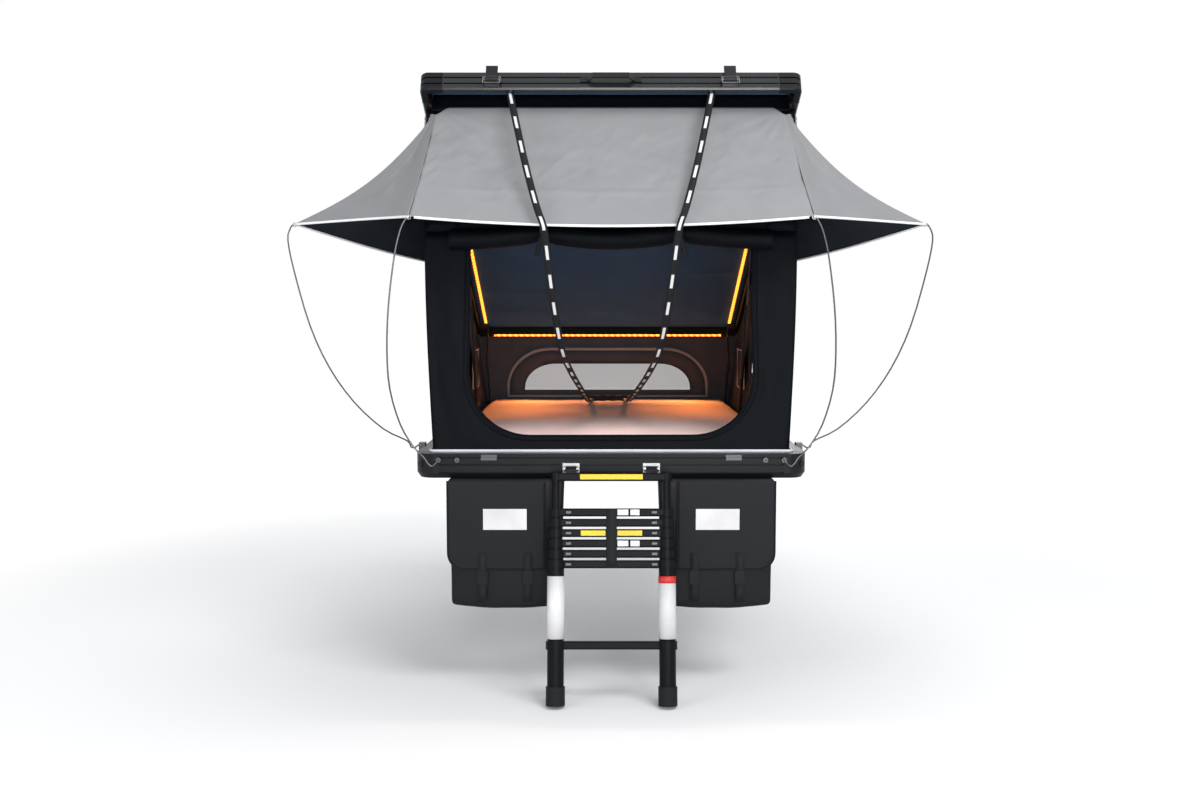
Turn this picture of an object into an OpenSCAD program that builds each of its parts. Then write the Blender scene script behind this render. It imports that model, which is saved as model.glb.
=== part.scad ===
// Hard-shell roof top tent, open for use. Millimetres, +Z up, door end towards -Y.
// The origin is the centre of the roof-bar bolt pattern, on the underside of the mounting rails.

/* [Shell] */
// Width over the side rails
shell_w = 1400; // [1360:10:1500]
// Length from the door end to the foot end
shell_l = 2150; // [2100:10:2300]
// Height of the base rails
base_h = 88; // [84:1:100]
// Depth of the base rails, outer face to inner face
base_d = 62; // [60:1:64]
// Height of the lid rails
lid_h = 76; // [74:1:90]
// Depth of the lid rails, outer face to inner face
lid_d = 26; // [22:1:28]
// Gap between base rim and closed lid
lid_gap = 3; // [2:0.5:6]
// Plan radius of the base corners
base_corner_r = 66; // [65:1:80]
// Plan radius of the lid corners
lid_corner_r = 30; // [29:1:40]
// Length of a moulded corner along each side
corner_len = 85; // [82:1:110]
// Thickness of the floor panel
floor_t = 30; // [20:1:40]
// Thickness of the lid skin
skin_t = 3; // [2:0.5:4]
// Thickness of the headliner
liner_t = 13; // [8:1:16]

/* [Mounting rails] */
// Height of the mounting rails
mount_h = 25; // [20:1:40]
// Width of the mounting rails
mount_w = 40; // [30:1:60]
// Bolt spacing across the roof
mount_x = 900; // [800:10:1000]
// Bolt spacing along the roof
mount_y = 1000; // [800:10:1200]
// Bolt hole diameter
mount_hole = 9; // [7:0.5:11]

/* [Lift] */
// Tilt of the open lid
lid_tilt = 27; // [22:0.5:30]
// Length of each lift arm between pivots
arm_len = 250; // [230:5:270]
// Angle of the open lift arms above the floor
arm_open = 57.35; // [50:0.05:62]
// Diameter of the lift pins
pin_d = 8; // [6:0.5:10]
// Diameter of the gas strut cylinders
strut_d = 18; // [16:1:20]
// Diameter of the gas strut rods
strut_rod_d = 10; // [8:1:12]

/* [Tent] */
// Clearance between the mattress and the side rails
mattress_side = 33; // [30:1:60]
// Height of the mattress top above the roof bars
mattress_top = 150; // [135:1:152]
// Width of the door opening
door_w = 1030; // [900:10:1060]
// Corner radius of the door opening
door_r = 220; // [150:10:260]
// Thickness of the canvas
canvas_t = 3; // [2:0.5:4]
// Thickness of the awning cloth
cloth_t = 2.5; // [2:0.5:3]
// Diameter of the awning rods
rod_d = 6; // [5:0.5:8]
// Width of the pull straps
strap_w = 26; // [20:1:32]

/* [Ladder] */
// Distance between the stile centres
stile_gap = 388; // [370:2:420]
// Lean of the ladder
ladder_lean = 11.35; // [8:0.05:14]
// Diameter of the thinnest stile tube
tube_d = 28; // [24:0.5:30]
// Growth in diameter from one tube to the next
tube_step = 5; // [5:0.5:5.5]
// Wall of the stile tubes
tube_wall = 1.5; // [1:0.25:1.75]
// Length of each stile tube
tube_len = 440; // [420:5:460]
// Pitch of the stacked rungs
rung_pitch = 36; // [34:0.5:42]
// Height of a rung
rung_h = 28; // [22:1:30]
// Depth of a rung
rung_d = 34; // [28:1:36]
// Gap between the top rung and the stack
top_gap = 124; // [100:2:140]

/* [Bags] */
// Width of each shoe bag
bag_w = 416; // [360:4:430]
// Height of each shoe bag
bag_h = 467; // [400:5:480]
// Depth of each shoe bag
bag_d = 100; // [70:5:110]

/* [Hidden] */
$fn = 48;
clear = 0.05;
soft_gap = 0.3;
half_w = shell_w / 2;
half_l = shell_l / 2;
rim_z = mount_h + base_h;
inner_x = half_w - base_d;
inner_y = half_l - base_d;
lid_inner_x = half_w - lid_d;
lid_inner_y = half_l - lid_d;
liner_z = lid_h - skin_t - liner_t;
floor_top = mount_h + floor_t;
mattress_w = 2 * (inner_x - mattress_side);
mattress_end = 23;
pin_r = pin_d / 2;

// Slots in the rails: mouth height, inner height, mouth depth, full depth
slot = [6, 12, 3, 11];
base_slots = [21, 49, 74];
lid_slots = [25, 51];

// Lift linkage: two arms of equal length fold on a knee, with the lid pivot straight above the base pivot
arm_w = 24;
arm_t = 5;
lower_arm_x = inner_x - 24.5;
upper_arm_x = inner_x - 16.5;
arm_y = half_l - 120;
arm_z = rim_z - 13;
lid_pivot_u = 120;
lid_pivot_w = 20;
lid_pivot_z = arm_z + 2 * arm_len * sin(arm_open);
arm_closed = asin((rim_z + lid_gap + lid_pivot_w - arm_z) / (2 * arm_len));
knee_y = arm_y - arm_len * cos(arm_open);
knee_z = arm_z + arm_len * sin(arm_open);

// Far bottom edge of the open lid, worked out from its pivot
far_y = arm_y + lid_pivot_u * cos(lid_tilt) - lid_pivot_w * sin(lid_tilt);
far_z = lid_pivot_z - lid_pivot_u * sin(lid_tilt) - lid_pivot_w * cos(lid_tilt);
// A point of the open lid: u runs from the far edge towards the door, w up from the lid's lower edge
function lid_pt(x, u, w) = [x, far_y - u * cos(lid_tilt) + w * sin(lid_tilt),
                            far_z + u * sin(lid_tilt) + w * cos(lid_tilt)];

// Gas struts
strut_x = inner_x - 18;
strut_y = 350;
strut_z = rim_z - 14;
strut_lid_u = 1350;
strut_lid_w = 30;
strut_top = lid_pt(0, strut_lid_u, strut_lid_w);
strut_angle = atan2(strut_top[2] - strut_z, strut_y - strut_top[1]);
strut_len = norm([strut_top[1] - strut_y, strut_top[2] - strut_z]);
strut_closed = norm([half_l - strut_lid_u - strut_y, rim_z + lid_gap + strut_lid_w - strut_z]);
cylinder_len = strut_closed - 30;
rod_in = 60;

// Canvas walls
wall_x = inner_x + canvas_t;
wall_z = rim_z + soft_gap;
front_y = -inner_y - canvas_t;
front_u = shell_l - 120;
foot_u = 50;
wall_drop = 2;
front_top = lid_pt(0, front_u, -wall_drop);
foot_top = lid_pt(0, foot_u, -wall_drop);
foot_y = inner_y + canvas_t;
front_lean = atan2(front_top[1] - front_y, front_top[2] - wall_z);
front_h = norm([front_top[1] - front_y, front_top[2] - wall_z]);
foot_lean = atan2(foot_top[1] - foot_y, foot_top[2] - wall_z);
foot_h = norm([foot_top[1] - foot_y, foot_top[2] - wall_z]);
wall_top_x = half_w - 12;
side_lean = atan2(wall_top_x - wall_x, front_top[2] - wall_z);
door_sill = 62;
door_head = 815;
foot_window = [880, 150, 76];
side_window = [-560, 210, 190, 600];

// Awning corners
awning_u = shell_l - 90;
awning_w = -0.2 * cloth_t;
wing_w = -0.38 * cloth_t;
awning_top_x = half_w - 8;
awning_front_x = half_w + 6;
awning_front_y = -half_l - 25;
awning_front_z = 950;
awning_tip = [half_w + 530, 475 - half_l, 955];
wing_u = 800;
hem_sag = 30;
ridge_sag = [-40, 0, -54];

// Awning rods: peg height on the near rail, side fitting place
peg_x = half_w - 86;
spare_peg_x = half_w - 152;
peg_z = rim_z - 21;
side_peg_in = 275;
side_peg_y = side_peg_in - half_l;
side_peg_z = rim_z - 3;
ferrule_len = 14;
// Routes of the left front rod and the left side rod, from the rail's face at the peg to the tip
front_rod = [[0, -4, 0], [0, -14.5, 0], [0, -18, 0], [-6, -23, -8], [-20, -23, -20], [-34, -23, -12],
             [-50, -23, 12], [-86, -23, 50], [-131, -24, 128], [-166, -25, 253], [-174, -27, 388],
             [-166, -29, 548], [-143, -31, 718], [-121, -32, 808], [-100, -32, 850]];
side_rod = [[-6, 0, 0], [-24.5, 0, 0], [-30, 0, 0], [-42, 0, -8], [-56, 0, -6], [-72, 2, 18], [-162, 10, 62],
            [-275, 35, 160], [-375, 70, 290], [-455, 105, 450], [-522, 145, 660], [-552, 178, 780],
            [-547, 194, 824], [-536, 196, 841]];

// Pull straps: route of the right strap from the lid rim, over the awning hem, to the grip on the mattress
strap_t = 2;
strap_seat = shell_l - lid_d - strap_t / 2 - soft_gap;
strap_x = half_w - 326;
strap_hang = [[342, 170, 1290], [303, 75, 1130], [262, -7, 985], [240, -37, 925], [232, -25, 880],
              [208, 90, 650], [182, 225, 475], [152, 425, 378], [124, 675, 304], [102, 975, 238],
              [92, 1325, 190], [88, 1595, 166], [86, 1775, 165]];
strap_route = concat([lid_pt(strap_x, strap_seat, 40), lid_pt(strap_x - 4, strap_seat, 2)],
                     [for (p = strap_hang) p - [0, half_l, 0]]);
grip_r = 11;
grip_len = 200;
grip_y = 1787 - half_l;

// Ladder: local z runs up along the stiles, 0 at the top rung
sections = 7;
ladder_y = 50 + half_l;
ladder_z = 37;
pivot_y = 20 + half_l;
pivot_z = 62;
bracket_x = 143;
bracket_plate = [60, 4, 40];
lug_w = 38;
ear_t = 5;
button = [18, 8, 12];
button_x = 150;
button_out = 4;
foot_len = 65;
foot_rim = 4;
foot_drop = 47;
lower_rung = 278;
function rung_s(k) = k == 1 ? 0 : -(top_gap + (k - 2) * rung_pitch);
function tube_od(k) = tube_d + (k - 1) * tube_step;
function collar_d(k) = tube_od(k) + 10;
function section_len(k) = tube_len + (k == sections ? foot_drop : 0);

// Shoe bags
bag_x = half_w - 325;
bag_wall = 4;
bag_top = mount_h - soft_gap;
bag_y = -half_l - 25;
flap_t = 3;
flap_h = 320;
flap_in = 68;
flap_r = 60;
flap_x0 = bag_x + bag_w / 2;
flap_w = bag_w - flap_in;
buckle = [34, 150, 4];
buckle_inset = 124;

// Latches
latch_x = 435;
latch_plate = [56, 52, 4];
lever_pivot = 30;
lever_len = 62;
bail_pivot = 12;
bail_len = 40.5;
wire_d = 5;
bail_w = latch_plate[0] + wire_d + 0.8;
bail_swing = 25;

// Shared shapes
module in_lid() {
    translate([0, far_y, far_z]) rotate([-lid_tilt, 0, 0]) translate([0, -half_l, 0]) children();
}

module both_sides() {
    children();
    mirror([1, 0, 0]) children();
}

module rounded_rect(w, h, r) {
    square([w - 2 * r, h], center = true);
    square([w, h - 2 * r], center = true);
    for (x = [-1, 1], y = [-1, 1]) translate([x * (w / 2 - r), y * (h / 2 - r)]) circle(r);
}

module stadium(len, w) {
    translate([0, -w / 2]) square([len, w]);
    circle(w / 2);
    translate([len, 0]) circle(w / 2);
}

module x_cylinder(r, x0, x1) {
    translate([x0, 0, 0]) rotate([0, 90, 0]) cylinder(r = r, h = x1 - x0);
}

// A prism along X from x0 to x1 whose profile is drawn as (y, z)
module x_prism(x0, x1) {
    translate([x0, 0, 0]) rotate([90, 0, 90]) linear_extrude(x1 - x0) children();
}

module slot_cut(heights) {
    for (h = heights) {
        translate([-1, h - slot[0] / 2]) square([slot[3] + 1, slot[0]]);
        translate([slot[2], h - slot[1] / 2]) square([slot[3] - slot[2], slot[1]]);
    }
}

// Four straight rails around the shell, profile drawn as (depth from the outer face, height)
module rail_frame() {
    for (a = [0, 180]) rotate(a) translate([0, -half_l, 0])
        x_prism(corner_len - half_w, half_w - corner_len) children();
    for (a = [90, 270]) rotate(a) translate([0, -half_w, 0])
        x_prism(corner_len - half_l, half_l - corner_len) children();
}

// Four corners that carry the same profile round a radius
module corner_frame(r) {
    for (x = [-1, 1], y = [-1, 1]) scale_corner(x, y) {
        translate([half_w - r, half_l - r, 0]) rotate_extrude(angle = 90)
            translate([r, 0]) mirror([1, 0]) children();
        translate([half_w, half_l - corner_len, 0]) rotate([90, 0, 180])
            linear_extrude(corner_len - r) children();
        translate([half_w - r, half_l, 0]) rotate([90, 0, -90]) linear_extrude(corner_len - r) children();
    }
}

module scale_corner(x, y) {
    mirror([x < 0 ? 1 : 0, 0, 0]) mirror([0, y < 0 ? 1 : 0, 0]) children();
}

// A closed sheet of thickness t over a grid of points, offset along n
module sheet(grid, n, t) {
    rows = len(grid);
    cols = len(grid[0]);
    half = n / norm(n) * t / 2;
    count = rows * cols;
    points = [for (s = [1, -1], r = [0:rows - 1], c = [0:cols - 1]) grid[r][c] + s * half];
    function at(r, c, side) = side * count + r * cols + c;
    upper = [for (r = [0:rows - 2], c = [0:cols - 2])
             each [[at(r, c, 0), at(r, c + 1, 0), at(r + 1, c + 1, 0)],
                   [at(r, c, 0), at(r + 1, c + 1, 0), at(r + 1, c, 0)]]];
    lower = [for (r = [0:rows - 2], c = [0:cols - 2])
             each [[at(r, c, 1), at(r + 1, c + 1, 1), at(r, c + 1, 1)],
                   [at(r, c, 1), at(r + 1, c, 1), at(r + 1, c + 1, 1)]]];
    border = concat([for (c = [0:cols - 1]) [0, c]], [for (r = [1:rows - 1]) [r, cols - 1]],
                    [for (c = [cols - 2:-1:0]) [rows - 1, c]], [for (r = [rows - 2:-1:1]) [r, 0]]);
    last = len(border) - 1;
    rim = [for (i = [0:last])
           let (a = border[i], b = border[i == last ? 0 : i + 1])
           each [[at(a[0], a[1], 0), at(a[0], a[1], 1), at(b[0], b[1], 0)],
                 [at(b[0], b[1], 0), at(a[0], a[1], 1), at(b[0], b[1], 1)]]];
    polyhedron(points, concat(upper, lower, rim));
}

// A closed skin over a list of rings with the same number of points, capped by its end rings' centres
module loft(rings) {
    n = len(rings[0]);
    m = len(rings);
    flat = [for (ring = rings) each ring];
    ends = [for (ring = [rings[0], rings[m - 1]]) [for (i = [0:2]) sum_of(ring, i) / n]];
    side = [for (k = [0:m - 2], i = [0:n - 1])
            let (j = (i + 1) % n)
            each [[k * n + i, k * n + j, (k + 1) * n + j], [k * n + i, (k + 1) * n + j, (k + 1) * n + i]]];
    start = [for (i = [0:n - 1]) [n * m, (i + 1) % n, i]];
    finish = [for (i = [0:n - 1]) [n * m + 1, (m - 1) * n + i, (m - 1) * n + (i + 1) % n]];
    polyhedron(concat(flat, ends), concat(side, start, finish));
}

function sum_of(list, axis, i = 0) = i == len(list) ? 0 : list[i][axis] + sum_of(list, axis, i + 1);
function unit(v) = v / norm(v);

// Smooth curve through a list of points, steps pieces between neighbours
function spline(p, steps) =
    concat([for (i = [0:len(p) - 2], j = [0:steps - 1])
            let (t = j / steps, a = p[max(i - 1, 0)], b = p[i], c = p[i + 1], d = p[min(i + 2, len(p) - 1)])
            0.5 * (2 * b + (c - a) * t + (2 * a - 5 * b + 4 * c - d) * t * t
                   + (3 * b - 3 * c + d - a) * t * t * t)],
           [p[len(p) - 1]]);

function direction(p, i) = unit(p[min(i + 1, len(p) - 1)] - p[max(i - 1, 0)]);

// Rings of an outline swept along a curve; side is the direction that the outline's x follows
function swept(curve, outline, side) =
    [for (i = [0:len(curve) - 1])
     let (d = direction(curve, i), up = unit(cross(d, side)), across = unit(cross(up, d)))
     [for (q = outline) curve[i] + across * q[0] + up * q[1]]];

function ring_points(r, n) = [for (i = [0:n - 1]) [r * cos(360 * i / n), r * sin(360 * i / n)]];

// Base
module base_profile() {
    wall = 4;
    chamber = slot[3] + 3;
    difference() {
        polygon([[0, 18], [12, 0], [base_d, 0], [base_d, base_h], [0, base_h]]);
        slot_cut(base_slots);
        translate([chamber, wall]) square([base_d - chamber - wall, base_h - 2 * wall]);
    }
}

module base_rails() {
    flange = 5;
    color("#1b1d20") translate([0, 0, mount_h]) rail_frame() {
        base_profile();
        translate([base_d - 1, floor_t]) square([15, flange]);
    }
}

module base_corners() {
    cap_r = 11;
    cap_out = 4;
    color("#17191b") translate([0, 0, mount_h]) {
        corner_frame(base_corner_r) polygon([[0, 18], [12, 0], [base_d, 0], [base_d, base_h], [0, base_h]]);
        for (x = [-1, 1], y = [-1, 1]) scale_corner(x, y)
            translate([half_w - base_corner_r, half_l - base_corner_r, base_h / 2 + 6]) rotate([0, 90, 45])
                translate([0, 0, base_corner_r - 10]) cylinder(r = cap_r, h = cap_out + 10);
    }
}

module base_floor() {
    edge_gap = 0.5;
    color("#8d9094") translate([0, 0, mount_h]) linear_extrude(floor_t)
        rounded_rect(2 * (inner_x - edge_gap), 2 * (inner_y - edge_gap), base_corner_r - base_d + 16);
}

module mount_rails() {
    wall = 4;
    end_gap = 125;
    len = shell_l - 2 * end_gap;
    color("#1c1d1f") for (x = [-1, 1]) translate([x * mount_x / 2, 0, 0]) difference() {
        translate([0, len / 2, 0]) rotate([90, 0, 0]) linear_extrude(len) difference() {
            translate([-mount_w / 2, 0]) square([mount_w, mount_h]);
            translate([wall - mount_w / 2, wall]) square([mount_w - 2 * wall, mount_h - 2 * wall]);
        }
        for (y = [-1, 1]) translate([0, y * mount_y / 2, -1]) cylinder(d = mount_hole, h = wall + 2);
    }
}

module rim_seal() {
    bead_r = 5;
    inset = base_d - 14;
    color("#c9cbd2") translate([0, 0, rim_z]) union() {
        rail_frame() seal_profile(bead_r, inset);
        corner_frame(base_corner_r) seal_profile(bead_r, inset);
    }
}

module seal_profile(r, inset) {
    translate([inset, r]) circle(r);
    translate([inset - 3, 0]) square([6, r]);
}

// Mattress rings: rounded rectangles that swell at the sides and crown at the top
module mattress() {
    edge_r = 60;
    height = mattress_top - floor_top - soft_gap;
    length = 2 * (inner_y - mattress_end);
    levels = [[14, 0], [3, 0.12], [0, 0.3], [5, 0.5], [0, 0.7], [6, 0.84], [20, 0.93], [50, 0.965],
              [150, 0.985], [320, 1]];
    corner_steps = 6;
    rings = [for (l = levels)
             let (w = mattress_w / 2 - l[0], h = length / 2 - l[0], r = max(edge_r - l[0] / 4, 20))
             [for (q = [0:3], i = [0:corner_steps])
              let (a = 90 * q + 90 * i / corner_steps, sx = q == 0 || q == 3 ? 1 : -1, sy = q < 2 ? 1 : -1)
              [sx * (w - r) + r * cos(a), sy * (h - r) + r * sin(a), floor_top + soft_gap + height * l[1]]]];
    color("#c9a398") loft(rings);
}

module base_brackets() {
    block = 9;
    color("#2a2c2f") both_sides() {
        translate([0, arm_y, arm_z]) {
            translate([inner_x - block, -14, -14]) cube([block, 28, 27]);
            x_cylinder(pin_r - clear, lower_arm_x - 1, inner_x - block + 1);
        }
        translate([0, strut_y, strut_z]) {
            translate([inner_x - block + 1, -14, -14]) cube([block - 1, 28, 27]);
            x_cylinder(pin_r - clear, strut_x - 8, inner_x - block + 2);
        }
    }
}

module latch_keepers() {
    color("#9da0a5") for (x = [-1, 1]) translate([x * latch_x, -half_l, rim_z])
        x_prism(-28, 28) polygon([[0, -6], [-3, -6], [-3, -15], [-9, -15], [-9, -22], [-12, -22],
                                  [-12, -12], [-6, -12], [-6, -3], [0, -3]]);
}

module rod_sockets() {
    fit_d = rod_d + 2 * clear;
    color("#b9bcc2") both_sides() {
        for (x = [peg_x, spare_peg_x]) translate([-x, -half_l, peg_z]) rotate([90, 0, 0]) difference() {
            cylinder(r = 9, h = ferrule_len);
            translate([0, 0, 2]) cylinder(d = fit_d, h = ferrule_len);
        }
        translate([-half_w, side_peg_y, side_peg_z]) difference() {
            translate([-24, -20, -18]) cube([24, 40, 30]);
            rotate([0, -90, 0]) translate([0, 0, 4]) cylinder(d = fit_d, h = 30);
        }
    }
}

module ladder_brackets() {
    ear_r = 11;
    ear_x = lug_w / 2 + ear_t;
    color("#a6a9ae") for (x = [-1, 1]) translate([x * bracket_x, -half_l, pivot_z]) {
        translate([-bracket_plate[0] / 2, -bracket_plate[1], -2 * ear_r])
            cube(bracket_plate);
        for (s = [-1, 1]) x_prism(s * ear_x - ear_t / 2, s * ear_x + ear_t / 2) union() {
            translate([half_l - pivot_y, 0]) circle(ear_r);
            translate([half_l - pivot_y, -ear_r]) square([pivot_y - half_l, 2 * ear_r]);
        }
        translate([0, half_l - pivot_y, 0]) x_cylinder(pin_r - clear, -ear_x - ear_t / 2, ear_x + ear_t / 2);
    }
}

// Canvas walls
module door_shape() {
    half = door_w / 2;
    translate([-half, door_sill + door_r]) square([door_w, door_head - door_sill - door_r]);
    translate([door_r - half, door_sill]) square([door_w - 2 * door_r, door_r]);
    for (s = [-1, 1]) translate([s * (half - door_r), door_sill + door_r]) circle(door_r);
}

module front_wall() {
    low = wall_x - canvas_t - 1;
    high = wall_top_x - canvas_t - 2;
    color("#16181a") translate([0, front_y, wall_z]) rotate([90 - front_lean, 0, 0])
        translate([0, 0, -canvas_t / 2]) linear_extrude(canvas_t) difference() {
            polygon([[-low, 0], [low, 0], [high, front_h], [-high, front_h]]);
            door_shape();
        }
}

module side_walls() {
    seam = canvas_t / 2;
    pane_t = 0.8;
    height = front_top[2] - wall_z;
    color("#17191b") both_sides() translate([wall_x, 0, wall_z]) rotate([0, side_lean, 0]) difference() {
        x_prism(-canvas_t / 2, canvas_t / 2)
            polygon([[front_y - seam, 0], [foot_y + seam, 0], [foot_top[1] + seam, foot_top[2] - wall_z],
                     [front_top[1] - seam, height]]);
        x_prism(pane_t - canvas_t / 2, canvas_t) translate([(side_window[0] + side_window[1]) / 2, 0])
            window_shape(side_window[1] - side_window[0], side_window[2], side_window[3]);
    }
}

// A window with a flat foot and a rounded head between two heights
module window_shape(w, low, high) {
    r = min(w, high - low) * 0.35;
    translate([-w / 2, low + r]) square([w, high - low - 2 * r]);
    translate([r - w / 2, low]) square([w - 2 * r, high - low]);
    for (x = [-1, 1], y = [low + r, high - r]) translate([x * (w / 2 - r), y]) circle(r);
}

module foot_wall() {
    pane_t = 0.8;
    low = wall_x - canvas_t - 1;
    color("#1f2124") translate([0, foot_y, wall_z]) rotate([90 - foot_lean, 0, 0]) difference() {
        translate([0, 0, -canvas_t / 2]) linear_extrude(canvas_t)
            polygon([[-low, 0], [low, 0], [low, foot_h], [-low, foot_h]]);
        translate([0, 0, -canvas_t]) linear_extrude(1.5 * canvas_t - pane_t)
            window_shape(foot_window[0], foot_window[2], foot_window[2] + foot_window[1]);
    }
}

// Rolled door: a roll that hangs in three sags between its two ties
module door_roll() {
    half = 535;
    tie = 250;
    roll_r = 36;
    sag = 22;
    steps = 30;
    height = 905;
    lift = height - wall_z;
    y = front_y + (lift - sag) * tan(front_lean) - roll_r - (soft_gap + canvas_t / 2) / cos(front_lean);
    curve = [for (i = [0:steps])
             let (x = half * (2 * i / steps - 1), out = min((abs(x) - tie) / tie, 1),
                  span = out < 0 ? cos(90 * x / tie) : sin(90 * out))
             [x, y, height - sag * span]];
    radius = [for (p = curve) roll_r * (1 - 0.28 * exp(-pow((abs(p[0]) - tie) / 30, 2)))];
    rings = [for (i = [0:steps]) [for (q = ring_points(radius[i], 12)) curve[i] + [0, q[0], q[1]]]];
    color("#131416") loft(rings);
}

// Shoe bags: a pouch with its mouth at the front, under the flap
module bag() {
    mouth = [60, 190];
    color("#141517") translate([bag_x - bag_w / 2, bag_y, bag_top - bag_h]) difference() {
        cube([bag_w, bag_d, bag_h]);
        translate([bag_wall, bag_wall, bag_wall])
            cube([bag_w - 2 * bag_wall, bag_d - 2 * bag_wall, bag_h - 2 * bag_wall]);
        translate([20, -1, bag_h - mouth[1]]) cube([bag_w - 40, bag_wall + 2, mouth[1] - 20]);
    }
}

module bag_flap() {
    color("#191a1d") translate([flap_x0, bag_y - soft_gap, bag_top - 5]) rotate([90, 0, 0]) {
        linear_extrude(flap_t) union() {
            translate([-flap_w, flap_r - flap_h]) square([flap_w, flap_h - flap_r]);
            translate([-flap_w, -flap_h]) square([flap_w - flap_r, flap_h]);
            translate([-flap_r, flap_r - flap_h]) circle(flap_r);
        }
        for (x = [buckle_inset, flap_w - buckle_inset / 2]) translate([-x, -flap_h - buckle[1] / 3, flap_t - 1])
            linear_extrude(buckle[2]) translate([-buckle[0] / 2, 0]) square([buckle[0], buckle[1]]);
    }
}

module bag_right() bag();
module bag_left() mirror([1, 0, 0]) bag();
module bag_flap_right() bag_flap();
module bag_flap_left() mirror([1, 0, 0]) bag_flap();

// Lift linkage
module lower_arms() {
    color("#303236") both_sides() translate([0, arm_y, arm_z]) rotate([-arm_open, 0, 0]) {
        difference() {
            x_prism(lower_arm_x, lower_arm_x + arm_t) mirror([1, 0]) stadium(arm_len, arm_w);
            x_cylinder(pin_r, lower_arm_x - 1, lower_arm_x + arm_t + 1);
        }
        translate([0, -arm_len, 0]) x_cylinder(pin_r - clear, lower_arm_x + 1, upper_arm_x + arm_t + 1);
    }
}

module upper_arms() {
    color("#303236") both_sides() translate([0, knee_y, knee_z]) rotate([arm_open, 0, 0]) difference() {
        x_prism(upper_arm_x, upper_arm_x + arm_t) stadium(arm_len, arm_w);
        for (y = [0, arm_len]) translate([0, y, 0]) x_cylinder(pin_r, upper_arm_x - 1, upper_arm_x + arm_t + 1);
    }
}

module on_strut() {
    both_sides() translate([strut_x, strut_y, strut_z]) rotate([90 - strut_angle, 0, 0]) children();
}

module strut_cylinders() {
    eye = 7;
    color("#121314") on_strut() difference() {
        union() {
            x_cylinder(strut_d / 2, -eye, eye);
            cylinder(d = strut_d, h = cylinder_len);
        }
        x_cylinder(pin_r, -strut_d, strut_d);
        translate([0, 0, strut_d / 2 + 8]) cylinder(d = strut_rod_d, h = cylinder_len);
    }
}

module strut_rods() {
    eye = 6;
    color("#c4c7cb") on_strut() {
        translate([0, 0, cylinder_len - rod_in])
            cylinder(d = strut_rod_d - 2 * clear, h = strut_len - cylinder_len + rod_in);
        translate([0, 0, strut_len]) x_cylinder(strut_d / 2, -eye, eye);
    }
}

// Lid
module lid_profile() {
    lip = 8;
    wall = 3;
    difference() {
        polygon([[0, 6], [5, 0], [lid_d, 0], [lid_d, lid_h - skin_t], [lip, lid_h - skin_t], [lip, lid_h],
                 [3, lid_h], [0, lid_h - 3]]);
        slot_cut(lid_slots);
        translate([slot[3] + wall, wall]) square([lid_d - slot[3] - 2 * wall, lid_h - skin_t - 2 * wall]);
    }
}

module lid_rails() {
    color("#1b1d20") in_lid() rail_frame() lid_profile();
}

module lid_corners() {
    color("#17191b") in_lid() corner_frame(lid_corner_r) lid_profile();
}

module lid_skin() {
    lip = 8;
    color("#1e2023") in_lid() translate([0, 0, lid_h - skin_t]) linear_extrude(skin_t)
        rounded_rect(2 * (half_w - lip), 2 * (half_l - lip), lid_corner_r - lip);
}

module headliner() {
    edge_gap = 2;
    color("#2c313a") in_lid() translate([0, 0, liner_z]) linear_extrude(liner_t)
        rounded_rect(2 * (lid_inner_x - edge_gap), 2 * (lid_inner_y - edge_gap), 12);
}

module lamp_strips() {
    lamp = [12, 8];
    side_x = lid_inner_x - 34;
    far_len = 1200;
    color("#ffb54a") in_lid() {
        for (x = [-1, 1]) translate([x * side_x - lamp[0] / 2, 170 - half_l, liner_z - lamp[1]])
            cube([lamp[0], shell_l - 260, lamp[1]]);
        translate([-far_len / 2, lid_inner_y - lamp[1], 4]) cube([far_len, lamp[1], lamp[0]]);
    }
}

// Lid handle: a bent flat bar that stands off the near rail
module lid_handle() {
    bar = 6;
    reach = 34;
    foot = 112;
    knee = 66;
    height = 20;
    right = [[0, -reach], [knee, -reach], [foot - 22, -bar], [foot, -bar], [foot, 0], [foot - 26, 0],
             [foot - 26, 2 - bar], [knee - 3, bar - reach], [0, bar - reach]];
    left = [for (i = [len(right) - 2:-1:1]) [-right[i][0], right[i][1]]];
    color("#26282b") in_lid() translate([0, -half_l, lid_h / 2 - height / 2]) linear_extrude(height)
        polygon(concat(right, left));
}

module lid_brackets() {
    arm_block = inner_x - 8;
    plate = 5.5;
    color("#2a2c2f") in_lid() both_sides() {
        translate([0, half_l - lid_pivot_u, lid_pivot_w]) {
            translate([arm_block, -15, -12]) cube([lid_inner_x - arm_block, 30, 24]);
            x_cylinder(pin_r - clear, upper_arm_x - 1, arm_block + 1);
        }
        translate([strut_x + 6.5, half_l - strut_lid_u - 20, strut_lid_w - 16])
            cube([plate, 40, liner_z - strut_lid_w + 16]);
    }
}

// Latches: plate on the near rail, lever on a pin, wire bail on the lever's short end
module latch_plates() {
    color("#a3a6ab") in_lid() for (x = [-1, 1]) translate([x * latch_x, -half_l, lever_pivot]) {
        translate([-latch_plate[0] / 2, -latch_plate[2], -22])
            cube([latch_plate[0], latch_plate[2], latch_plate[1]]);
        for (s = [-1, 1]) translate([s * (latch_plate[0] / 2 - 2), 0, 0])
            x_prism(-2, 2) union() {
                translate([-14, 0]) circle(6);
                translate([-14, -6]) square([12, 12]);
            }
        translate([0, -14, 0]) x_cylinder(pin_r / 2 - clear, -latch_plate[0] / 2 + 1, latch_plate[0] / 2 - 1);
    }
}

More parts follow.
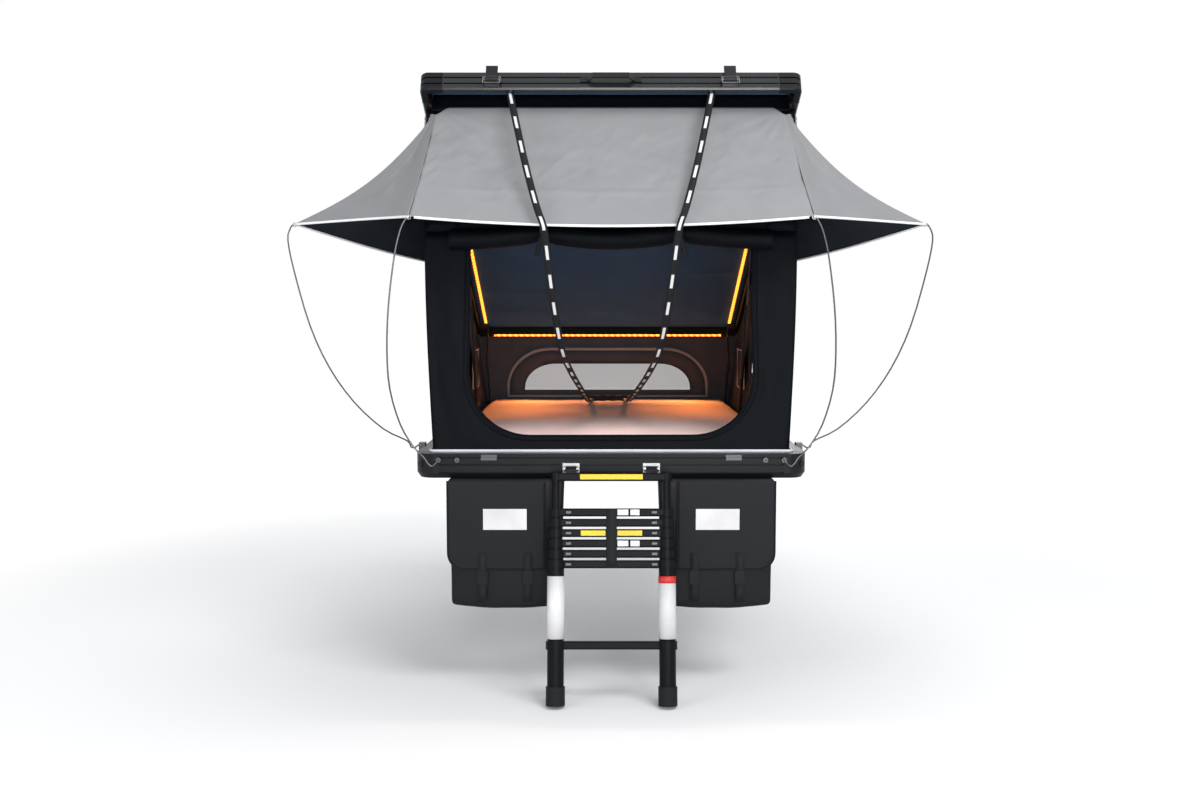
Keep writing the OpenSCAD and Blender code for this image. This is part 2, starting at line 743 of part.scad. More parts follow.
module latch_lever(x) {
    half = latch_plate[0] / 2 - 6;
    color("#3a3c40") in_lid() translate([x, -half_l - 14, lever_pivot]) difference() {
        x_prism(-half, half) union() {
            circle(5);
            translate([-4, 0]) square([8, lever_len - 4]);
            translate([0, lever_len - 4]) circle(4);
            translate([0, bail_pivot]) circle(5);
        }
        x_cylinder(pin_r / 2, -half - 1, half + 1);
        translate([0, 0, bail_pivot]) x_cylinder(wire_d / 2 + clear, -half - 1, half + 1);
    }
}

module latch_bail(x) {
    half = bail_w / 2;
    place = [x, -half_l - 14, lever_pivot + bail_pivot];
    color("#c2c5c9") in_lid() translate(place) rotate([-bail_swing, 0, 0]) {
        x_cylinder(wire_d / 2, -half, half);
        for (s = [-1, 1]) translate([s * half, 0, 0]) {
            sphere(d = wire_d);
            translate([0, 0, -bail_len]) cylinder(d = wire_d, h = bail_len);
            translate([0, 0, -bail_len]) sphere(d = wire_d);
        }
        translate([0, 0, -bail_len]) x_cylinder(wire_d / 2, -half, half);
    }
}

module latch_lever_left() latch_lever(-latch_x);
module latch_lever_right() latch_lever(latch_x);
module latch_bail_left() latch_bail(-latch_x);
module latch_bail_right() latch_bail(latch_x);

// Awning front: a ruled panel whose hem sags between the two rods
function awning_point(s, t) =
    let (x = 2 * s - 1, top = lid_pt(x * (awning_top_x - 4), awning_u, awning_w),
         hem = [x * (awning_front_x - 2), awning_front_y + hem_sag * (1 - x * x) * 0.8,
                awning_front_z - hem_sag * (1 - x * x)])
    top + (hem - top) * t + [0, 14 * sin(180 * t) * (1 - 0.4 * x * x), -10 * sin(180 * t)];

module awning_front() {
    rows = 8;
    cols = 18;
    grid = [for (r = [0:rows]) [for (c = [0:cols]) awning_point(c / cols, r / rows)]];
    normal = cross(grid[0][cols] - grid[0][0], grid[rows][0] - grid[0][0]);
    color("#a7a9ad") sheet(grid, normal, cloth_t);
}

// Awning wing, right side: a fan of pulls from the lid's corner to the front rod, the side rod and the rim.
// The turn runs from 0 at the front seam through 1 at the side rod's tip to 2 along the rim.
function wing_hem(turn) =
    let (front = [awning_front_x + 2, awning_front_y, awning_front_z],
         far = lid_pt(awning_top_x, wing_u, wing_w))
    turn <= 1 ? front + (awning_tip - front) * turn + [-40, 26, 6] * sin(180 * turn)
              : awning_tip + (far - awning_tip) * (turn - 1) + [-20, 10, -20] * sin(180 * (turn - 1));

function wing_sag(turn) =
    turn <= 1 ? [0, 8.4, -10] * (1 - turn) + ridge_sag * turn + [4, -4, 3] * sin(180 * turn)
              : ridge_sag * (2 - turn) + [6, 5, 10] * sin(180 * (turn - 1));

function wing_point(s, t) =
    let (reach = max(s, t), turn = reach == 0 ? 0 : t >= s ? s / reach : 2 - t / reach,
         top = lid_pt(awning_top_x, awning_u, wing_w))
    top + (wing_hem(turn) - top) * reach + wing_sag(turn) * sin(180 * reach);

module awning_wing() {
    steps = 12;
    grid = [for (r = [0:steps]) [for (c = [0:steps]) wing_point(c / steps, r / steps)]];
    front = grid[steps][0] - grid[0][0];
    ridge = grid[steps][steps] - grid[0][0];
    rim = grid[0][steps] - grid[0][0];
    normal = unit(cross(ridge, front)) + unit(cross(rim, ridge));
    color("#8f9195") sheet(grid, normal, cloth_t);
}

module awning_wing_right() awning_wing();
module awning_wing_left() mirror([1, 0, 0]) awning_wing();

// Pull straps and their grip
module pull_straps() {
    half = strap_w / 2;
    outline = [[-half, -strap_t / 2], [half, -strap_t / 2], [half, strap_t / 2], [-half, strap_t / 2]];
    color("#202225") both_sides() loft(swept(spline(strap_route, 3), outline, [1, 0, 0]));
}

module strap_grip() {
    color("#141517") translate([0, grip_y + grip_r, mattress_top + grip_r + soft_gap])
        x_cylinder(grip_r, -grip_len / 2, grip_len / 2);
}

// Awning rods: a spring-steel wire swept from its peg to its tip
module bent_rod(route, side) {
    color("#7d8084") loft(swept(spline(route, 3), ring_points(rod_d / 2, 8), side));
}

module front_rod_left() translate([-peg_x, -half_l, peg_z]) bent_rod(front_rod, [1, 1, -1]);
module front_rod_right() mirror([1, 0, 0]) front_rod_left();
module side_rod_left() translate([-half_w, side_peg_y, side_peg_z]) bent_rod(side_rod, [0, 1, 0]);
module side_rod_right() mirror([1, 0, 0]) side_rod_left();

// Ladder
module on_ladder() {
    translate([0, -ladder_y, ladder_z]) rotate([-ladder_lean, 0, 0]) children();
}

module rung(z) {
    half = stile_gap / 2;
    translate([0, 0, z]) x_prism(-half, half) rounded_rect(rung_d, rung_h, 6);
}

// One section: a rung between two collars, with a tube below each; the last one runs on to the feet
module ladder_section(k) {
    bore = k == 1 ? 0 : tube_od(k - 1) + 0.6;
    top = rung_s(k) + rung_h / 2;
    length = section_len(k);
    pocket = [button[0] + 0.6, button[2] + 1, button[1] + 0.6];
    color("#1d1e20") on_ladder() difference() {
        union() {
            rung(rung_s(k));
            if (k == sections) rung(rung_s(k) - lower_rung);
            for (x = [-1, 1]) translate([x * stile_gap / 2, 0, 0]) {
                for (low = k == sections ? [0, lower_rung] : [0])
                    translate([0, 0, top - rung_h - low]) cylinder(d = collar_d(k), h = rung_h);
                translate([0, 0, top - length]) cylinder(d = tube_od(k), h = length);
            }
            if (k == 1) ladder_lugs();
        }
        for (x = [-1, 1]) translate([x * stile_gap / 2, 0, top - length - 1]) {
            if (k > 1) cylinder(d = bore, h = length + 2);
            cylinder(d = tube_od(k) - 2 * tube_wall, h = length - rung_h);
        }
        if (k == 1) in_ladder_pivot() x_cylinder(pin_r, -half_w, half_w);
        if (k > 1) for (x = [-1, 1])
            translate([x * button_x - pocket[0] / 2, -rung_d / 2 - 1, rung_s(k) - pocket[2] / 2]) cube(pocket);
    }
}

// The swing axis of the ladder in its own leaning frame
module in_ladder_pivot() {
    rotate([ladder_lean, 0, 0]) translate([0, ladder_y - pivot_y, pivot_z - ladder_z]) children();
}

module ladder_lugs() {
    ring_r = 9;
    for (x = [-1, 1]) translate([x * bracket_x, 0, 0]) rotate([ladder_lean, 0, 0])
        x_prism(-lug_w / 2, lug_w / 2) union() {
            translate([ladder_y - pivot_y, pivot_z - ladder_z]) circle(ring_r);
            polygon([[ladder_y - pivot_y - ring_r, pivot_z - ladder_z],
                     [ladder_y - pivot_y, pivot_z - ladder_z - ring_r], [8, 0], [-6, 10]]);
        }
}

module release_buttons(k) {
    place = [-button[0] / 2, -rung_d / 2 - button_out, rung_s(k) - button[1] / 2];
    color("#d8d9db") on_ladder() for (x = [-1, 1]) translate(place + [x * button_x, 0, 0])
        cube([button[0], button[2], button[1]]);
}

module ladder_feet() {
    od = tube_od(sections);
    low = rung_s(sections) + rung_h / 2 - section_len(sections);
    color("#0f1011") on_ladder() for (x = [-1, 1]) translate([x * stile_gap / 2, 0, low - 10]) difference() {
        cylinder(d = od + 2 * foot_rim, h = foot_len);
        translate([0, 0, 10]) cylinder(d = od + 0.2, h = foot_len);
    }
}

module ladder_strap() {
    width = 38;
    thick = 2;
    drop = 6 * rung_pitch - 4;
    low = rung_s(2) + rung_h / 2 - drop;
    color("#2b2d30") on_ladder() translate([-width / 2, -rung_d / 2 - soft_gap - thick, low])
        cube([width, thick, drop]);
}

module ladder_section_1() ladder_section(1);
module ladder_section_2() ladder_section(2);
module ladder_section_3() ladder_section(3);
module ladder_section_4() ladder_section(4);
module ladder_section_5() ladder_section(5);
module ladder_section_6() ladder_section(6);
module ladder_section_7() ladder_section(7);
module release_buttons_2() release_buttons(2);
module release_buttons_3() release_buttons(3);
module release_buttons_4() release_buttons(4);
module release_buttons_5() release_buttons(5);
module release_buttons_6() release_buttons(6);
module release_buttons_7() release_buttons(7);

base_rails();
base_corners();
base_floor();
mount_rails();
rim_seal();
mattress();
base_brackets();
latch_keepers();
rod_sockets();
ladder_brackets();
front_wall();
side_walls();
foot_wall();
door_roll();
bag_left();
bag_right();
bag_flap_left();
bag_flap_right();
lower_arms();
upper_arms();
strut_cylinders();
strut_rods();
lid_rails();
lid_corners();
lid_skin();
headliner();
lamp_strips();
lid_handle();
lid_brackets();
latch_plates();
latch_lever_left();
latch_lever_right();
latch_bail_left();
latch_bail_right();
awning_front();
awning_wing_left();
awning_wing_right();
pull_straps();
strap_grip();
front_rod_left();
front_rod_right();
side_rod_left();
side_rod_right();
ladder_section_1();
ladder_section_2();
ladder_section_3();
ladder_section_4();
ladder_section_5();
ladder_section_6();
ladder_section_7();
release_buttons_2();
release_buttons_3();
release_buttons_4();
release_buttons_5();
release_buttons_6();
release_buttons_7();
ladder_feet();
ladder_strap();
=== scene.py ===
# %% [markdown]
# # A hard-shell roof top tent, dressed
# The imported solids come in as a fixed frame. Hard pieces keep their solids and get a finish; every
# piece of cloth, webbing and foam is made again here, in place, because a solid block never looks sewn.

# %% Load the frame
import math

import bmesh
import bpy
from mathutils import Matrix, Vector, noise


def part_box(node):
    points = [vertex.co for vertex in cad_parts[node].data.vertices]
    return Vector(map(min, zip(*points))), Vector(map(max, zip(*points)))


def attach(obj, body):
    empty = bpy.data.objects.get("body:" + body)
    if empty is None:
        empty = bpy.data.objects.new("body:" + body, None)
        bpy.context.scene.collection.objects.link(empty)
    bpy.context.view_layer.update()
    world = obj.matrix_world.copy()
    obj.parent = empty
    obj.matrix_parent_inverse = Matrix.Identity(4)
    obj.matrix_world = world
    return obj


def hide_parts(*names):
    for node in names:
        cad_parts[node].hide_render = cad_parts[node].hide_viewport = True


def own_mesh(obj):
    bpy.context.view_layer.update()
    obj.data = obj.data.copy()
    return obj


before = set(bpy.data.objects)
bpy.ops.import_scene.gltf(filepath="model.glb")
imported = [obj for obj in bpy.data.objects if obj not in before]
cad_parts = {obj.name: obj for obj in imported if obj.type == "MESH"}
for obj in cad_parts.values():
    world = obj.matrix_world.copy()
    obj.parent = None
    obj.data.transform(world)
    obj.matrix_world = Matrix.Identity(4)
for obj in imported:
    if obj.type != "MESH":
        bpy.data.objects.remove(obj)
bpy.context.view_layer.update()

# %% [markdown]
# ## Places on the open lid and on the front wall
# The lid leans, so a point on it is easiest to give as u, the distance from its far edge, and w, the
# height above its lower rim. The front wall leans too: v runs up along its cloth.

# %% Places
TILT = math.radians(27)
FAR_EDGE = Vector((0, 1.052841, 0.448692))
TOWARDS_DOOR = Vector((0, -math.cos(TILT), math.sin(TILT)))
LID_UP = Vector((0, math.sin(TILT), math.cos(TILT)))
WALL_Z = 0.1133
FRONT_Y = -1.016
FOOT_Y = 1.016
SIDES = (("left", -1), ("right", 1))


def on_lid(x, u, w):
    return Vector((x, 0, 0)) + FAR_EDGE + TOWARDS_DOOR * u + LID_UP * w


WALL_NEAR_U, WALL_FAR_U, WALL_TOP_W = 2.030, 0.050, -0.002
FRONT_TOP = on_lid(0, WALL_NEAR_U, WALL_TOP_W)
FOOT_TOP = on_lid(0, WALL_FAR_U, WALL_TOP_W)
FRONT_HEIGHT = math.hypot(FRONT_TOP.y - FRONT_Y, FRONT_TOP.z - WALL_Z)
FRONT_UP = Vector((0, FRONT_TOP.y - FRONT_Y, FRONT_TOP.z - WALL_Z)).normalized()
FRONT_OUT = Vector((0, -FRONT_UP.z, FRONT_UP.y))
SIDE_X, SIDE_TOP_X, SIDE_BULGE = 0.641, 0.688, 0.014


def side_top(y):
    """The lid's rim above a place y of the side walls."""
    return FOOT_TOP.z + (FRONT_TOP.z - FOOT_TOP.z) * (FOOT_TOP.y - y) / (FOOT_TOP.y - FRONT_TOP.y)


def wall_half(y, z):
    """Half the tent's width: the side walls run from the base's rim out to the lid's and belly a little."""
    height = side_top(y) - WALL_Z
    t = min((z - WALL_Z) / height, 1.0)
    return SIDE_X + (SIDE_TOP_X - SIDE_X) * t + SIDE_BULGE * height * math.sin(math.pi * t)


def on_front(x, v, out=0.0):
    return Vector((x, FRONT_Y, WALL_Z)) + FRONT_UP * v + FRONT_OUT * out


def lerp(a, b, t):
    return a + (b - a) * t


def smooth(t):
    t = min(max(t, 0.0), 1.0)
    return t * t * (3 - 2 * t)


print("front wall height", round(FRONT_HEIGHT, 3))

# %% [markdown]
# ## A camera like the photograph's
# The picture was taken from in front of the door, a little above the mattress, so the camera stands
# there and looks slightly down. The focal length follows from how fast the tent narrows with depth.

# %% Camera
camera_data = bpy.data.cameras.new("camera")
camera_data.lens = 35.67
camera_data.sensor_width = 36
camera = bpy.data.objects.new("camera", camera_data)
camera.location = (-0.04, -5.275, 0.655)
camera.rotation_euler = (math.radians(90 - 4.76), 0, 0)
bpy.context.collection.objects.link(camera)
bpy.context.scene.camera = camera
print("camera at", tuple(camera.location))

# %% [markdown]
# ## Shader sums in plain Python
# A finish is a small tree of nodes. Wrapping a socket in a class with + * > and < lets a mask or a pattern
# be written as the sum that it is, and each sign adds one Math node.


# %% Sums on sockets
class Value:
    """One output socket that can be used in sums."""

    def __init__(self, finish, socket):
        self.finish = finish
        self.socket = socket

    def _sum(self, operation, other):
        return self.finish.node("ShaderNodeMath", {"operation": operation}, {0: self, 1: other}).out()

    def __add__(self, other):
        return self._sum("ADD", other)

    def __mul__(self, other):
        return self._sum("MULTIPLY", other)

    def __gt__(self, other):
        return self._sum("GREATER_THAN", other)

    def __lt__(self, other):
        return self._sum("LESS_THAN", other)

    __radd__ = __add__
    __rmul__ = __mul__


class Made:
    """A node that has been made; out() gives one of its sockets."""

    def __init__(self, finish, node):
        self.finish = finish
        self.node = node

    def out(self, name=0):
        return Value(self.finish, self.node.outputs[name])


print("sums on sockets ready")

# %% [markdown]
# ## A finish as a recipe
# Every finish is one Principled shader. One method makes any other node from its type, its settings and its
# sockets, and short methods give the patterns that several finishes share: grain, bands, a mix, a bump.


# %% Finish recipes
class Finish:
    """A material with one Principled shader."""

    names = []

    def __init__(self, name, color, roughness=0.5, metallic=0.0, **fixed):
        self.names.append(name)
        self.material = bpy.data.materials.new(name)
        self.material.use_nodes = True
        self.tree = self.material.node_tree
        self.shader = self.tree.nodes["Principled BSDF"]
        self.material.diffuse_color = (*color, 1)
        self.set("Base Color", (*color, 1))
        self.set("Roughness", roughness)
        self.set("Metallic", metallic)
        for socket, value in fixed.items():
            self.set(socket.replace("_", " "), value)

    def set(self, socket, value):
        target = self.shader.inputs[socket]
        if isinstance(value, Value):
            self.tree.links.new(value.socket, target)
        else:
            target.default_value = value

    def node(self, kind, settings=None, inputs=None):
        made = self.tree.nodes.new(kind)
        for name, value in (settings or {}).items():
            setattr(made, name, value)
        for name, value in (inputs or {}).items():
            if isinstance(value, Value):
                self.tree.links.new(value.socket, made.inputs[name])
            else:
                made.inputs[name].default_value = value
        return Made(self, made)

    def place(self, kind="Object"):
        return self.node("ShaderNodeTexCoord").out(kind)

    def grain(self, scale, detail=4.0, where="Object", stretch=None):
        place = self.place(where)
        if stretch:
            place = self.node("ShaderNodeMapping", None, {"Vector": place, "Scale": stretch}).out()
        sockets = {"Vector": place, "Scale": scale, "Detail": detail}
        return self.node("ShaderNodeTexNoise", None, sockets).out("Fac")

    def bands(self, direction, scale, where="Object"):
        settings = {"wave_type": "BANDS", "bands_direction": direction, "wave_profile": "SIN"}
        sockets = {"Vector": self.place(where), "Scale": scale}
        return self.node("ShaderNodeTexWave", settings, sockets).out("Fac")

    def axis(self, name, where="Object"):
        return self.node("ShaderNodeSeparateXYZ", None, {0: self.place(where)}).out(name)

    def mix(self, factor, first, second):
        made = self.node("ShaderNodeMix", {"data_type": "RGBA"}, {0: factor, 6: first, 7: second})
        return made.out(2)

    def vary(self, low, high, amount):
        """Base colour between two colours, by a mask."""
        self.set("Base Color", self.mix(amount, (*low, 1), (*high, 1)))

    def bump(self, height, distance, strength=1.0):
        sockets = {"Strength": strength, "Distance": distance, "Height": height}
        self.set("Normal", self.node("ShaderNodeBump", None, sockets).out())


def tone(color, factor):
    return tuple(min(1.0, c * factor) for c in color)


print("finish recipes ready")

# %% [markdown]
# ## Metals and mouldings
# The rails are powder-coated extrusions: nearly black, satin, with a fine orange-peel skin and a lighter
# bloom where hands rub them. Mouldings have a coarser grain and stay duller.


# %% Metal and plastic finishes
def coated(name, color, roughness, peel=900.0, depth=0.00012, shine=0.5):
    """A painted or moulded skin: peel is how fine its grain is, shine how much of the room it mirrors."""
    made = Finish(name, color, roughness, Specular_IOR_Level=shine)
    cloud = made.grain(7.0, 6.0)
    speck = made.grain(peel, 2.0)
    made.vary(tone(color, 0.75), tone(color, 1.5), cloud)
    made.set("Roughness", cloud * 0.16 + (roughness - 0.08))
    made.bump(speck, depth, 0.5)
    return made.material


def bright_metal(name, color, roughness):
    """Bare metal with fine drawn lines along X."""
    made = Finish(name, color, roughness, 1.0)
    lines = made.grain(60.0, 3.0, stretch=(1.0, 40.0, 40.0))
    made.vary(tone(color, 0.8), tone(color, 1.1), lines)
    made.set("Roughness", lines * 0.2 + (roughness - 0.1))
    made.bump(lines, 0.0001, 0.4)
    return made.material


black_coat = coated("black_powder_coat", (0.0045, 0.0052, 0.0066), 0.36, shine=0.15)
lid_rail_coat = coated("lid_rail_coat", (0.007, 0.0082, 0.0102), 0.22, shine=0.55)
lid_coat = coated("lid_sheet_coat", (0.016, 0.017, 0.02), 0.5, 500.0, shine=0.4)
moulding = coated("corner_moulding", (0.0052, 0.0058, 0.0072), 0.42, 420.0, 0.0002, shine=0.16)
dark_steel = coated("black_coated_steel", (0.008, 0.0085, 0.0105), 0.36, 1200.0, 0.00008, shine=0.24)
ladder_black = coated("ladder_black_anodised", (0.004, 0.0046, 0.006), 0.42, 1500.0, 0.00006, shine=0.07)
strut_black = coated("strut_black", (0.012, 0.012, 0.013), 0.3, 1500.0, 0.00004, shine=0.3)
rubber = coated("foot_rubber", (0.006, 0.0064, 0.0075), 0.7, 300.0, 0.0003, shine=0.18)
steel = bright_metal("bright_steel", (0.36, 0.37, 0.39), 0.34)
rod_steel = bright_metal("rod_steel", (0.1, 0.1, 0.11), 0.4)
latch_grey = bright_metal("latch_grey", (0.085, 0.086, 0.092), 0.38)
button_dark = coated("button_dark", (0.05, 0.05, 0.054), 0.4, 800.0)
plate_white = coated("plain_plate_white", (0.5, 0.5, 0.505), 0.5, 600.0, 0.00005)
plate_red = coated("plain_plate_red", (0.46, 0.018, 0.014), 0.5, 600.0, 0.00005)
plate_yellow = coated("plain_plate_yellow", (0.58, 0.4, 0.004), 0.5, 600.0, 0.00005)
floor_board = coated("floor_board", (0.27, 0.28, 0.29), 0.6, 200.0, 0.0003)
# The rim seal is coloured light grey as a painted reflection: it stands for the white room mirrored in the
# top of the base rim.
painted_reflection_seal = coated("seal_light_grey", (0.52, 0.53, 0.57), 0.55, 900.0, 0.0001)
print("metal and plastic finishes", len(Finish.names))

# %% [markdown]
# ## Cloth
# Tent canvas, bag cloth and the awning are woven. Two crossed waves give the threads, on the cloth's own UV
# map or in the piece's own space, both in metres. A coarse grid of thicker threads is the ripstop, and slow
# noise fades the colour.

# %% Cloth finishes
WAVE_LENGTH = 0.314  # metres from band to band of a wave texture at scale 1


def woven(name, color, thread, ripstop=0.0, roughness=0.85, fade=0.35, depth=0.0003, where="UV", shine=0.5,
          **fixed):
    """Cloth: thread and ripstop are the spacings of threads in metres, fade how much the colour varies."""
    made = Finish(name, color, roughness, 0.0, Specular_IOR_Level=shine, **fixed)
    fine = WAVE_LENGTH / thread
    threads = made.bands("X", fine, where) * made.bands("Y", fine, where)
    patches = made.grain(5.0, 5.0, where)
    shade = threads * 0.35 + patches * 0.65
    if ripstop:
        wide = WAVE_LENGTH / ripstop
        lines = (made.bands("X", wide, where) > 0.97) + (made.bands("Y", wide, where) > 0.97)
        shade = shade + lines * 0.25
        threads = threads + lines * 0.6
    made.vary(tone(color, 1 - fade), tone(color, 1 + fade), shade)
    made.set("Roughness", patches * 0.12 + (roughness - 0.06))
    made.bump(threads, depth, 0.6)
    return made.material


canvas = woven("black_canvas", (0.0012, 0.0022, 0.004), 0.0014, 0.009, 0.52, shine=0.07)
canvas_inside = woven("canvas_inside", (0.05, 0.05, 0.058), 0.0014, 0.0, 0.85, shine=0.2)
bag_cloth = woven("bag_cloth", (0.0056, 0.0062, 0.0082), 0.0012, 0.0, 0.48, shine=0.18)
awning_grey = woven("awning_grey", (0.25, 0.254, 0.262), 0.0011, 0.0, 0.72, 0.16, shine=0.3)
awning_black = woven("awning_underside", (0.004, 0.0072, 0.0135), 0.0011, 0.0, 0.6, 0.25, shine=0.1)
binding_dark = woven("binding_dark", (0.2, 0.185, 0.185), 0.0008, 0.0, 0.8, 0.15, 0.0002, "Object")
binding_pale = woven("binding_pale", (0.82, 0.82, 0.83), 0.0008, 0.0, 0.8, 0.1, 0.0002, "Object")
window_mesh = woven("window_mesh", (0.2, 0.2, 0.2), 0.0016, 0.0, 0.8, 0.12, Alpha=0.4)
foam_cover = woven("mattress_cover", (0.84, 0.68, 0.64), 0.0022, 0.0, 0.9, 0.2, 0.0005, "Object")
roof_lining = woven("roof_lining", (0.034, 0.095, 0.19), 0.0018, 0.0, 0.9, 0.3, 0.0005, "Object", shine=0.2)
webbing = woven("black_webbing", (0.006, 0.0065, 0.008), 0.0016, 0.0, 0.7, 0.3, 0.0004, shine=0.25)
print("metal, plastic and cloth finishes", len(Finish.names))

# %% [markdown]
# ## Marked webbing and lamp strips
# The pull straps have a plain white dash woven in along their middle, and the lamp strips are rows of amber
# beads. Both patterns are worked out from one coordinate, so they stay sharp at any distance.


# %% Webbing and lamp finishes
def dashed_webbing():
    """Black webbing with a plain white dash woven in along its middle; U runs along the strap in metres."""
    made = Finish("dashed_webbing", (0.007, 0.0075, 0.009), 0.7, Specular_IOR_Level=0.2)
    along = made.axis("X", "UV")
    across = made.axis("Y", "UV")
    step = made.node("ShaderNodeMath", {"operation": "FRACT"}, {0: along * 9.0}).out()
    middle = (across > 0.3) * (across < 0.7)
    dash = (step > 0.3) * (step < 0.78) * middle
    ribs = made.bands("X", WAVE_LENGTH / 0.003, "UV")
    made.set("Base Color", made.mix(dash, (0.007, 0.0075, 0.009, 1), (0.6, 0.6, 0.6, 1)))
    made.set("Roughness", ribs * 0.15 + 0.6)
    made.bump(ribs, 0.0003, 0.6)
    return made.material


def lamp_finish():
    """Amber strip with a bead of light every 30 mm; x serves the far strip, y the two that climb the lid."""
    made = Finish("amber_lamp", (1.0, 0.55, 0.12), 0.4)
    run = made.axis("X") + made.axis("Y") * 1.122
    wave = made.node("ShaderNodeMath", {"operation": "SINE"}, {0: run * (2 * math.pi / 0.03)}).out()
    made.set("Emission Color", made.mix(wave * 0.5 + 0.5, (0.25, 0.034, 0.001, 1), (1.0, 0.3, 0.03, 1)))
    made.set("Emission Strength", 5.0)
    return made.material


strap_webbing = dashed_webbing()
lamp = lamp_finish()
print("finishes in all", len(Finish.names))

# %% [markdown]
# ## Finishes for the solids that stay
# The rails, corners, latches, lift arms and ladder come from the frame as they are; only their material
# slot changes.

# %% Dress the solids
solid_finish = {
    black_coat: ["base_rails", "mount_rails"],
    lid_rail_coat: ["lid_rails"],
    moulding: ["base_corners", "lid_corners"],
    lid_coat: ["lid_skin"],
    floor_board: ["base_floor"],
    # The rim seal takes the light grey painted reflection.
    painted_reflection_seal: ["rim_seal"],
    dark_steel: ["base_brackets", "lower_arms", "upper_arms", "lid_handle", "lid_brackets",
                 "latch_lever_left", "latch_lever_right"],
    strut_black: ["strut_cylinders"],
    steel: ["ladder_brackets"],
    latch_grey: ["latch_keepers", "rod_sockets", "latch_plates", "latch_bail_left", "latch_bail_right"],
    rod_steel: ["strut_rods", "front_rod_left", "front_rod_right", "side_rod_left", "side_rod_right"],
    lamp: ["lamp_strips"],
    ladder_black: ["ladder_section_%d" % k for k in range(1, 8)],
    button_dark: ["release_buttons_%d" % k for k in range(2, 8)],
    rubber: ["ladder_feet"],
}
for finish, nodes in solid_finish.items():
    for name in nodes:
        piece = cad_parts[name]
        piece.data.materials.clear()
        piece.data.materials.append(finish)
print("dressed", sum(len(nodes) for nodes in solid_finish.values()), "solids")

# %% [markdown]
# ## Making a piece
# A bmesh is shaped, written to an object at the origin and told which body it rides on. A sheet starts as
# a flat grid whose points are then placed one by one, with its UV map in metres of cloth.


# %% Pieces and sheets
def make_piece(name, shape, finishes, body="base", stands_for=(), smooth_faces=True):
    """A new object from a bmesh; most of them are canvas on the base."""
    mesh = bpy.data.meshes.new(name)
    shape.to_mesh(mesh)
    shape.free()
    piece = bpy.data.objects.new(name, mesh)
    bpy.context.collection.objects.link(piece)
    for finish in finishes if isinstance(finishes, (list, tuple)) else [finishes]:
        mesh.materials.append(finish)
    if smooth_faces:
        mesh.polygons.foreach_set("use_smooth", [True] * len(mesh.polygons))
    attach(piece, body)
    if stands_for:
        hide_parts(*stands_for)
    return piece


def area_of(piece):
    return sum(p.area for p in piece.data.polygons)


def grid(columns, rows, place, size):
    """A sheet: place(s, t) gives the point at s across and t along, both from 0 to 1."""
    shape = bmesh.new()
    bmesh.ops.create_grid(shape, x_segments=columns, y_segments=rows, size=0.5)
    layer = shape.loops.layers.uv.new("UVMap")
    for face in shape.faces:
        for loop in face.loops:
            loop[layer].uv = ((loop.vert.co.x + 0.5) * size[0], (loop.vert.co.y + 0.5) * size[1])
    for vert in shape.verts:
        vert.co = place(vert.co.x + 0.5, vert.co.y + 0.5)
    return shape


def unroll(shape):
    """Give a shape that still lies flat its UV map in metres."""
    layer = shape.loops.layers.uv.new("UVMap")
    for face in shape.faces:
        for loop in face.loops:
            loop[layer].uv = loop.vert.co.xy


def face_out(shape, outwards):
    """Turn a sheet over if its faces look the wrong way."""
    bmesh.ops.recalc_face_normals(shape, faces=shape.faces)
    if sum(face.normal.dot(Vector(outwards)) for face in shape.faces) < 0:
        bmesh.ops.reverse_faces(shape, faces=shape.faces)


def thicken(piece, thickness, offset=0.0, inside=None, rim=None):
    """Cloth thickness as a live Solidify; inside and rim pick other finishes for the back and the edge."""
    shell = piece.modifiers.new("cloth", "SOLIDIFY")
    shell.thickness = thickness
    shell.offset = offset
    if inside is not None:
        shell.material_offset = inside
    if rim is not None:
        shell.material_offset_rim = rim


def ripple(place, scale, seed=0.0):
    return noise.noise(Vector(place) * scale + Vector((seed, seed * 1.7, seed * 2.3)))


print("pieces and sheets ready")

# %% [markdown]
# ## Lines, webbing and blocks
# Piping, hems and zips are round lines along a row of points. Webbing is one edge drawn along its route.
# Foam, buckles and plates start as blocks with rounded edges, cut into slices where they have to bend.

# %% Lines and blocks
ACROSS = Vector((1, 0, 0))


def piping(name, points, radius, finish, body="base", closed=False, sides=3):
    """A round cord or wire along points, made as a curve and turned into a mesh."""
    curve = bpy.data.curves.new(name, "CURVE")
    curve.dimensions = "3D"
    curve.bevel_depth = radius
    curve.bevel_resolution = sides
    curve.use_fill_caps = not closed
    line = curve.splines.new("POLY")
    line.points.add(len(points) - 1)
    line.use_cyclic_u = closed
    for point, place in zip(line.points, points):
        point.co = (*place, 1)
    holder = bpy.data.objects.new(name, curve)
    bpy.context.collection.objects.link(holder)
    mesh = bpy.data.meshes.new_from_object(holder.evaluated_get(bpy.context.evaluated_depsgraph_get()))
    bpy.data.objects.remove(holder)
    shape = bmesh.new()
    shape.from_mesh(mesh)
    bpy.data.meshes.remove(mesh)
    return make_piece(name, shape, finish, body)


def spline(points, steps):
    """A smooth line through the points, with steps pieces between neighbours."""
    line = []
    for i in range(len(points) - 1):
        a, b, c, d = (Vector(points[min(max(j, 0), len(points) - 1)]) for j in (i - 1, i, i + 1, i + 2))
        for j in range(steps):
            t = j / steps
            line.append(0.5 * (2 * b + (c - a) * t + (2 * a - 5 * b + 4 * c - d) * t * t
                               + (3 * b - 3 * c + d - a) * t ** 3))
    return line + [Vector(points[-1])]


def run_along(path):
    """How far along the path each of its points lies."""
    run = [0.0]
    for start, end in zip(path, path[1:]):
        run.append(run[-1] + (end - start).length)
    return run


